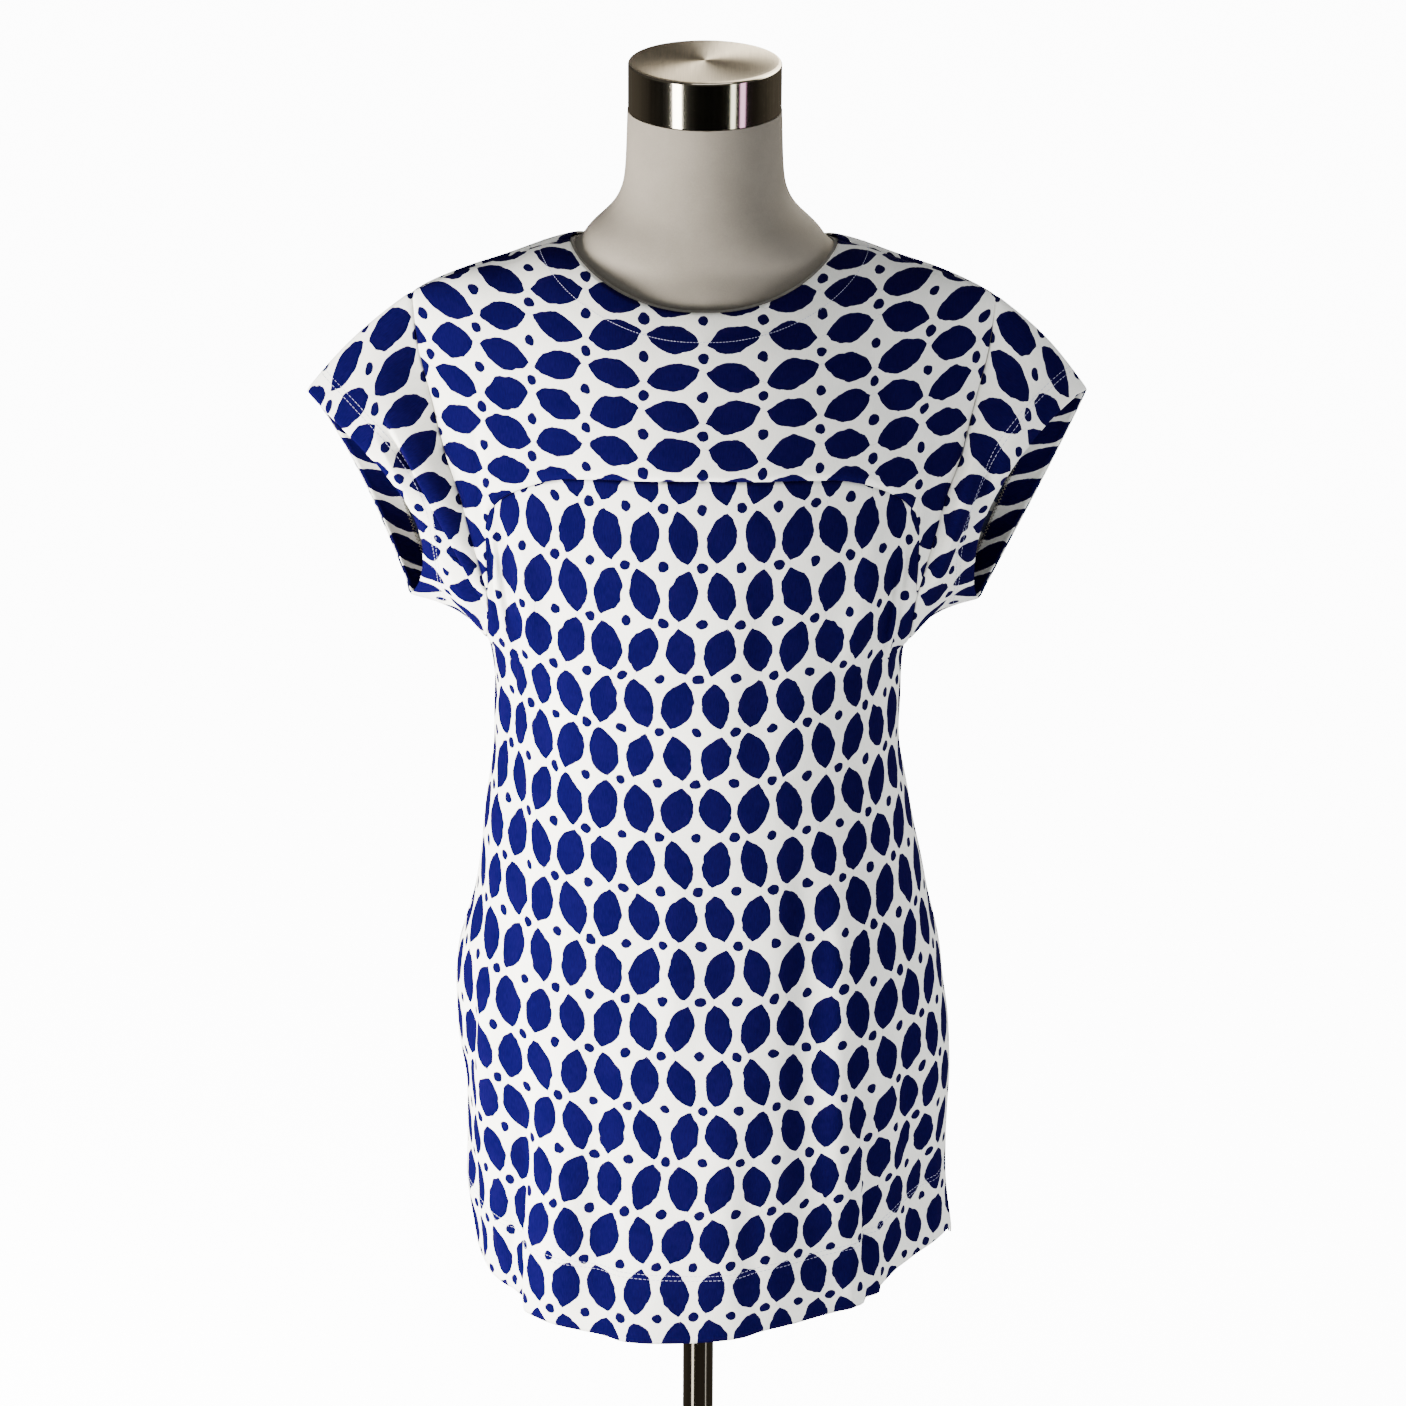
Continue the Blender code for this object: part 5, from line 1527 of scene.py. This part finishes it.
def all_looks():
    """The materials of the cloth, the thread and the steel."""
    return {
        "upright": jersey("jersey_upright", False),
        "sideways": jersey("jersey_sideways", True),
        # The two reverse looks carry painted shade: their colours are darkened for the shaded
        # inside of the shirt.
        "reverse": jersey("jersey_reverse_painted_shade", False, True),
        "reverse_side": jersey("jersey_reverse_side_painted_shade", True, True),
        "trim": plain_jersey("facing_jersey", (0.150, 0.138, 0.118, 1.0),
                             (0.200, 0.186, 0.162, 1.0)),
        "thread": plain_jersey("sewing_thread", (0.30, 0.32, 0.46, 1.0), (0.42, 0.44, 0.56, 1.0)),
        "binding": plain_jersey("seam_binding", (0.60, 0.59, 0.55, 1.0), (0.70, 0.69, 0.65, 1.0)),
        "polished": steel("polished_steel", (0.52, 0.48, 0.42, 1.0), (0.58, 0.54, 0.47, 1.0),
                          0.10, (700.0, 700.0, 6.0), 0.012),
        "satin": steel("satin_steel", (0.56, 0.500, 0.410, 1.0), (0.66, 0.590, 0.490, 1.0),
                       0.42, (1500.0, 30.0, 30.0), 0.05, True),
    }


def body_piece(side, plain, shaped, creases, fade, looks, steps=()):
    """The cloth of one side of the body, with its fine grid."""
    flip = side == "back"
    grid = rolled(crinkled(shaped, creases, fade, flip=flip, steps=steps), BODY_EDGES, flip)
    piece = cloth(side, grid, body_map(side, plain, grid), [looks["upright"], looks["reverse"]],
                  flip=flip, nodes=[side + "_panel"])
    return piece, grid


def yoke_piece(yoke, looks):
    """The cloth of the yoke, with its fine grid."""
    fade = smoothstep(YOKE_FOLD_FADE * (1.0 - YOKE_SHARES))[:, None]
    grid = crinkled(folded(yoke, "front", FRONT_FOLDS, fade), YOKE_CREASES,
                    edge_fade(yoke, SEAM_FADE, ("top", "bottom", "left", "right")))
    grid = rolled(grid, {"top": SEAM_DIP, "bottom": YOKE_DIP})
    piece = cloth("yoke", grid, chest_map("front", yoke),
                  [looks["sideways"], looks["reverse_side"]], nodes=["front_yoke"])
    return piece, grid


def facing_piece(yoke, back, looks):
    """The band inside the neckline."""
    item = surface("facing", neck_facing(yoke, back), closed=True)
    walled(item, CLOTH)
    return dress(item, [looks["trim"]], ["neck_facing"])


def cuff_band(hand, fine, flip, looks):
    """The band turned in at a cuff, and the overlock on its edge."""
    band = np.array([inset(fine, share * CUFF_BAND, True) for share in CUFF_BAND_SHARES])
    band = moved_out(band, -BAND_GAP, True, not flip)
    ring = closed_up(band, 1)
    places = np.stack([lengths(ring, 1), BAND_PRINT + lengths(ring, 0)], axis=2)
    piece = cloth("cuff_band_" + hand, band, places, [looks["upright"]], True, not flip,
                  BAND_WALL)
    edge = closed_up(inset(band, OVERLOCK_IN, True))
    zigzag = overlock(tree_of(band, True, flip), edge)
    return piece, sewn("cuff_overlock_" + hand, zigzag, looks["trim"], OVERLOCK_THREAD)


def sleeve_pieces(hand, grid, looks):
    """A sleeve's cloth, and its stitches, turned band, overlock and armhole binding."""
    flip = hand == "left"
    grid = finer(grid, SLEEVE_FINER)
    underarm = int(np.argmin(grid[0, :, 2]))
    grid = np.roll(grid, -underarm, axis=1)
    up = lengths(grid, 0)
    to_front = smoothstep((SLEEVE_FRONT_Y - grid[..., 1]) / (2.0 * SLEEVE_FRONT_Y))
    fade = smoothstep(up / SLEEVE_FADE)
    fade = fade * (SLEEVE_BACK_SHARE + (1.0 - SLEEVE_BACK_SHARE) * to_front)
    fine = crinkled(grid, SLEEVE_CREASES[hand], fade, True, flip, SLEEVE_STEPS[hand], to_front)
    normals = normals_of(fine, True, flip)
    dip = np.maximum(SEAM_DIP * np.exp(-up / SEAM_DIP_WIDTH),
                     EDGE_ROLL * np.exp(-(up[-1] - up) / SEAM_DIP_WIDTH))
    fine = fine - normals * dip[..., None]
    piece = cloth("sleeve_" + hand + "_cloth", fine, sleeve_map(grid, grid.shape[1] - underarm),
                  [looks["upright"], looks["reverse"]], True, flip, nodes=["sleeve_" + hand])
    tree = tree_of(fine, True, flip)
    rows = []
    for k in range(2):
        line = inset(fine, CUFF_STITCH_IN + k * TWIN_SPACE, True)
        rows += stitches(tree, closed_up(line))
    sewing = sewn("cuff_stitches_" + hand, rows, looks["thread"])
    band, over = cuff_band(hand, fine, flip, looks)
    seam = closed_up(fine[0])
    out = closed_up(normals[0])
    bound = sewn("armhole_binding_" + hand, [(seam - out * BINDING_INSIDE, out)],
                 looks["binding"], BINDING_RADIUS)
    return piece, [sewing, band, over, bound]


def hem_band(side, fine, looks):
    """The band turned in at the hem of one side."""
    flip = side == "back"
    band = np.array([inset(fine, share * HEM_BAND) for share in HEM_BAND_SHARES])
    band = moved_out(band, -BAND_GAP, False, flip)
    places = np.stack([signed_across(band), lengths(band, 0) + HEM_BAND_PRINT], axis=2)
    return cloth("hem_band_" + side, band, places, [looks["upright"]], False, not flip, BAND_WALL)


def main():
    """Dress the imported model."""
    studio()
    looks = all_looks()
    front = front_grid()
    back = back_grid()
    yoke = yoke_grid(front)
    shaped = hem_dropped(folded(front, "front", FRONT_FOLDS, side_fade(front)))
    pieces = {}
    fine = {}
    pieces["front"], fine["front"] = body_piece(
        "front", front, shaped, FRONT_CREASES, edge_fade(shaped, SEAM_FADE, BODY_SEAMS), looks,
        FRONT_STEPS)
    pieces["back"], fine["back"] = body_piece(
        "back", back, folded(back, "back", BACK_FOLDS, side_fade(back)), BACK_CREASES,
        edge_fade(back, SEAM_FADE, BODY_SEAMS), looks)
    pieces["yoke"], fine["yoke"] = yoke_piece(yoke, looks)
    facing = facing_piece(yoke, back, looks)

    trees = {name: tree_of(grid, False, name == "back") for name, grid in fine.items()}
    rows = []
    for name, side in (("yoke", "front"), ("back", "back")):
        rows += stitches(trees[name], neck_line(side, NECK_STITCH_IN), NECK_STITCH)
    beside = {"yoke": [sewn("neck_stitches", rows, looks["thread"])], "facing": []}
    for side in SIDES:
        rows = []
        for k in range(2):
            line = inset(fine[side], HEM_STITCH_UP - k * TWIN_SPACE)
            rows += stitches(trees[side], line)
        beside[side] = [sewn("hem_stitches_" + side, rows, looks["thread"])]
    for hand in CUFFS:
        name = "sleeve_" + hand
        grid = sleeve(hand, front, yoke, back)
        pieces[name], beside[name] = sleeve_pieces(hand, grid, looks)
    for side in SIDES:
        beside[side].append(hem_band(side, fine[side], looks))
    pieces["facing"] = facing

    closed_form()
    stand(looks["polished"], looks["satin"])


main()
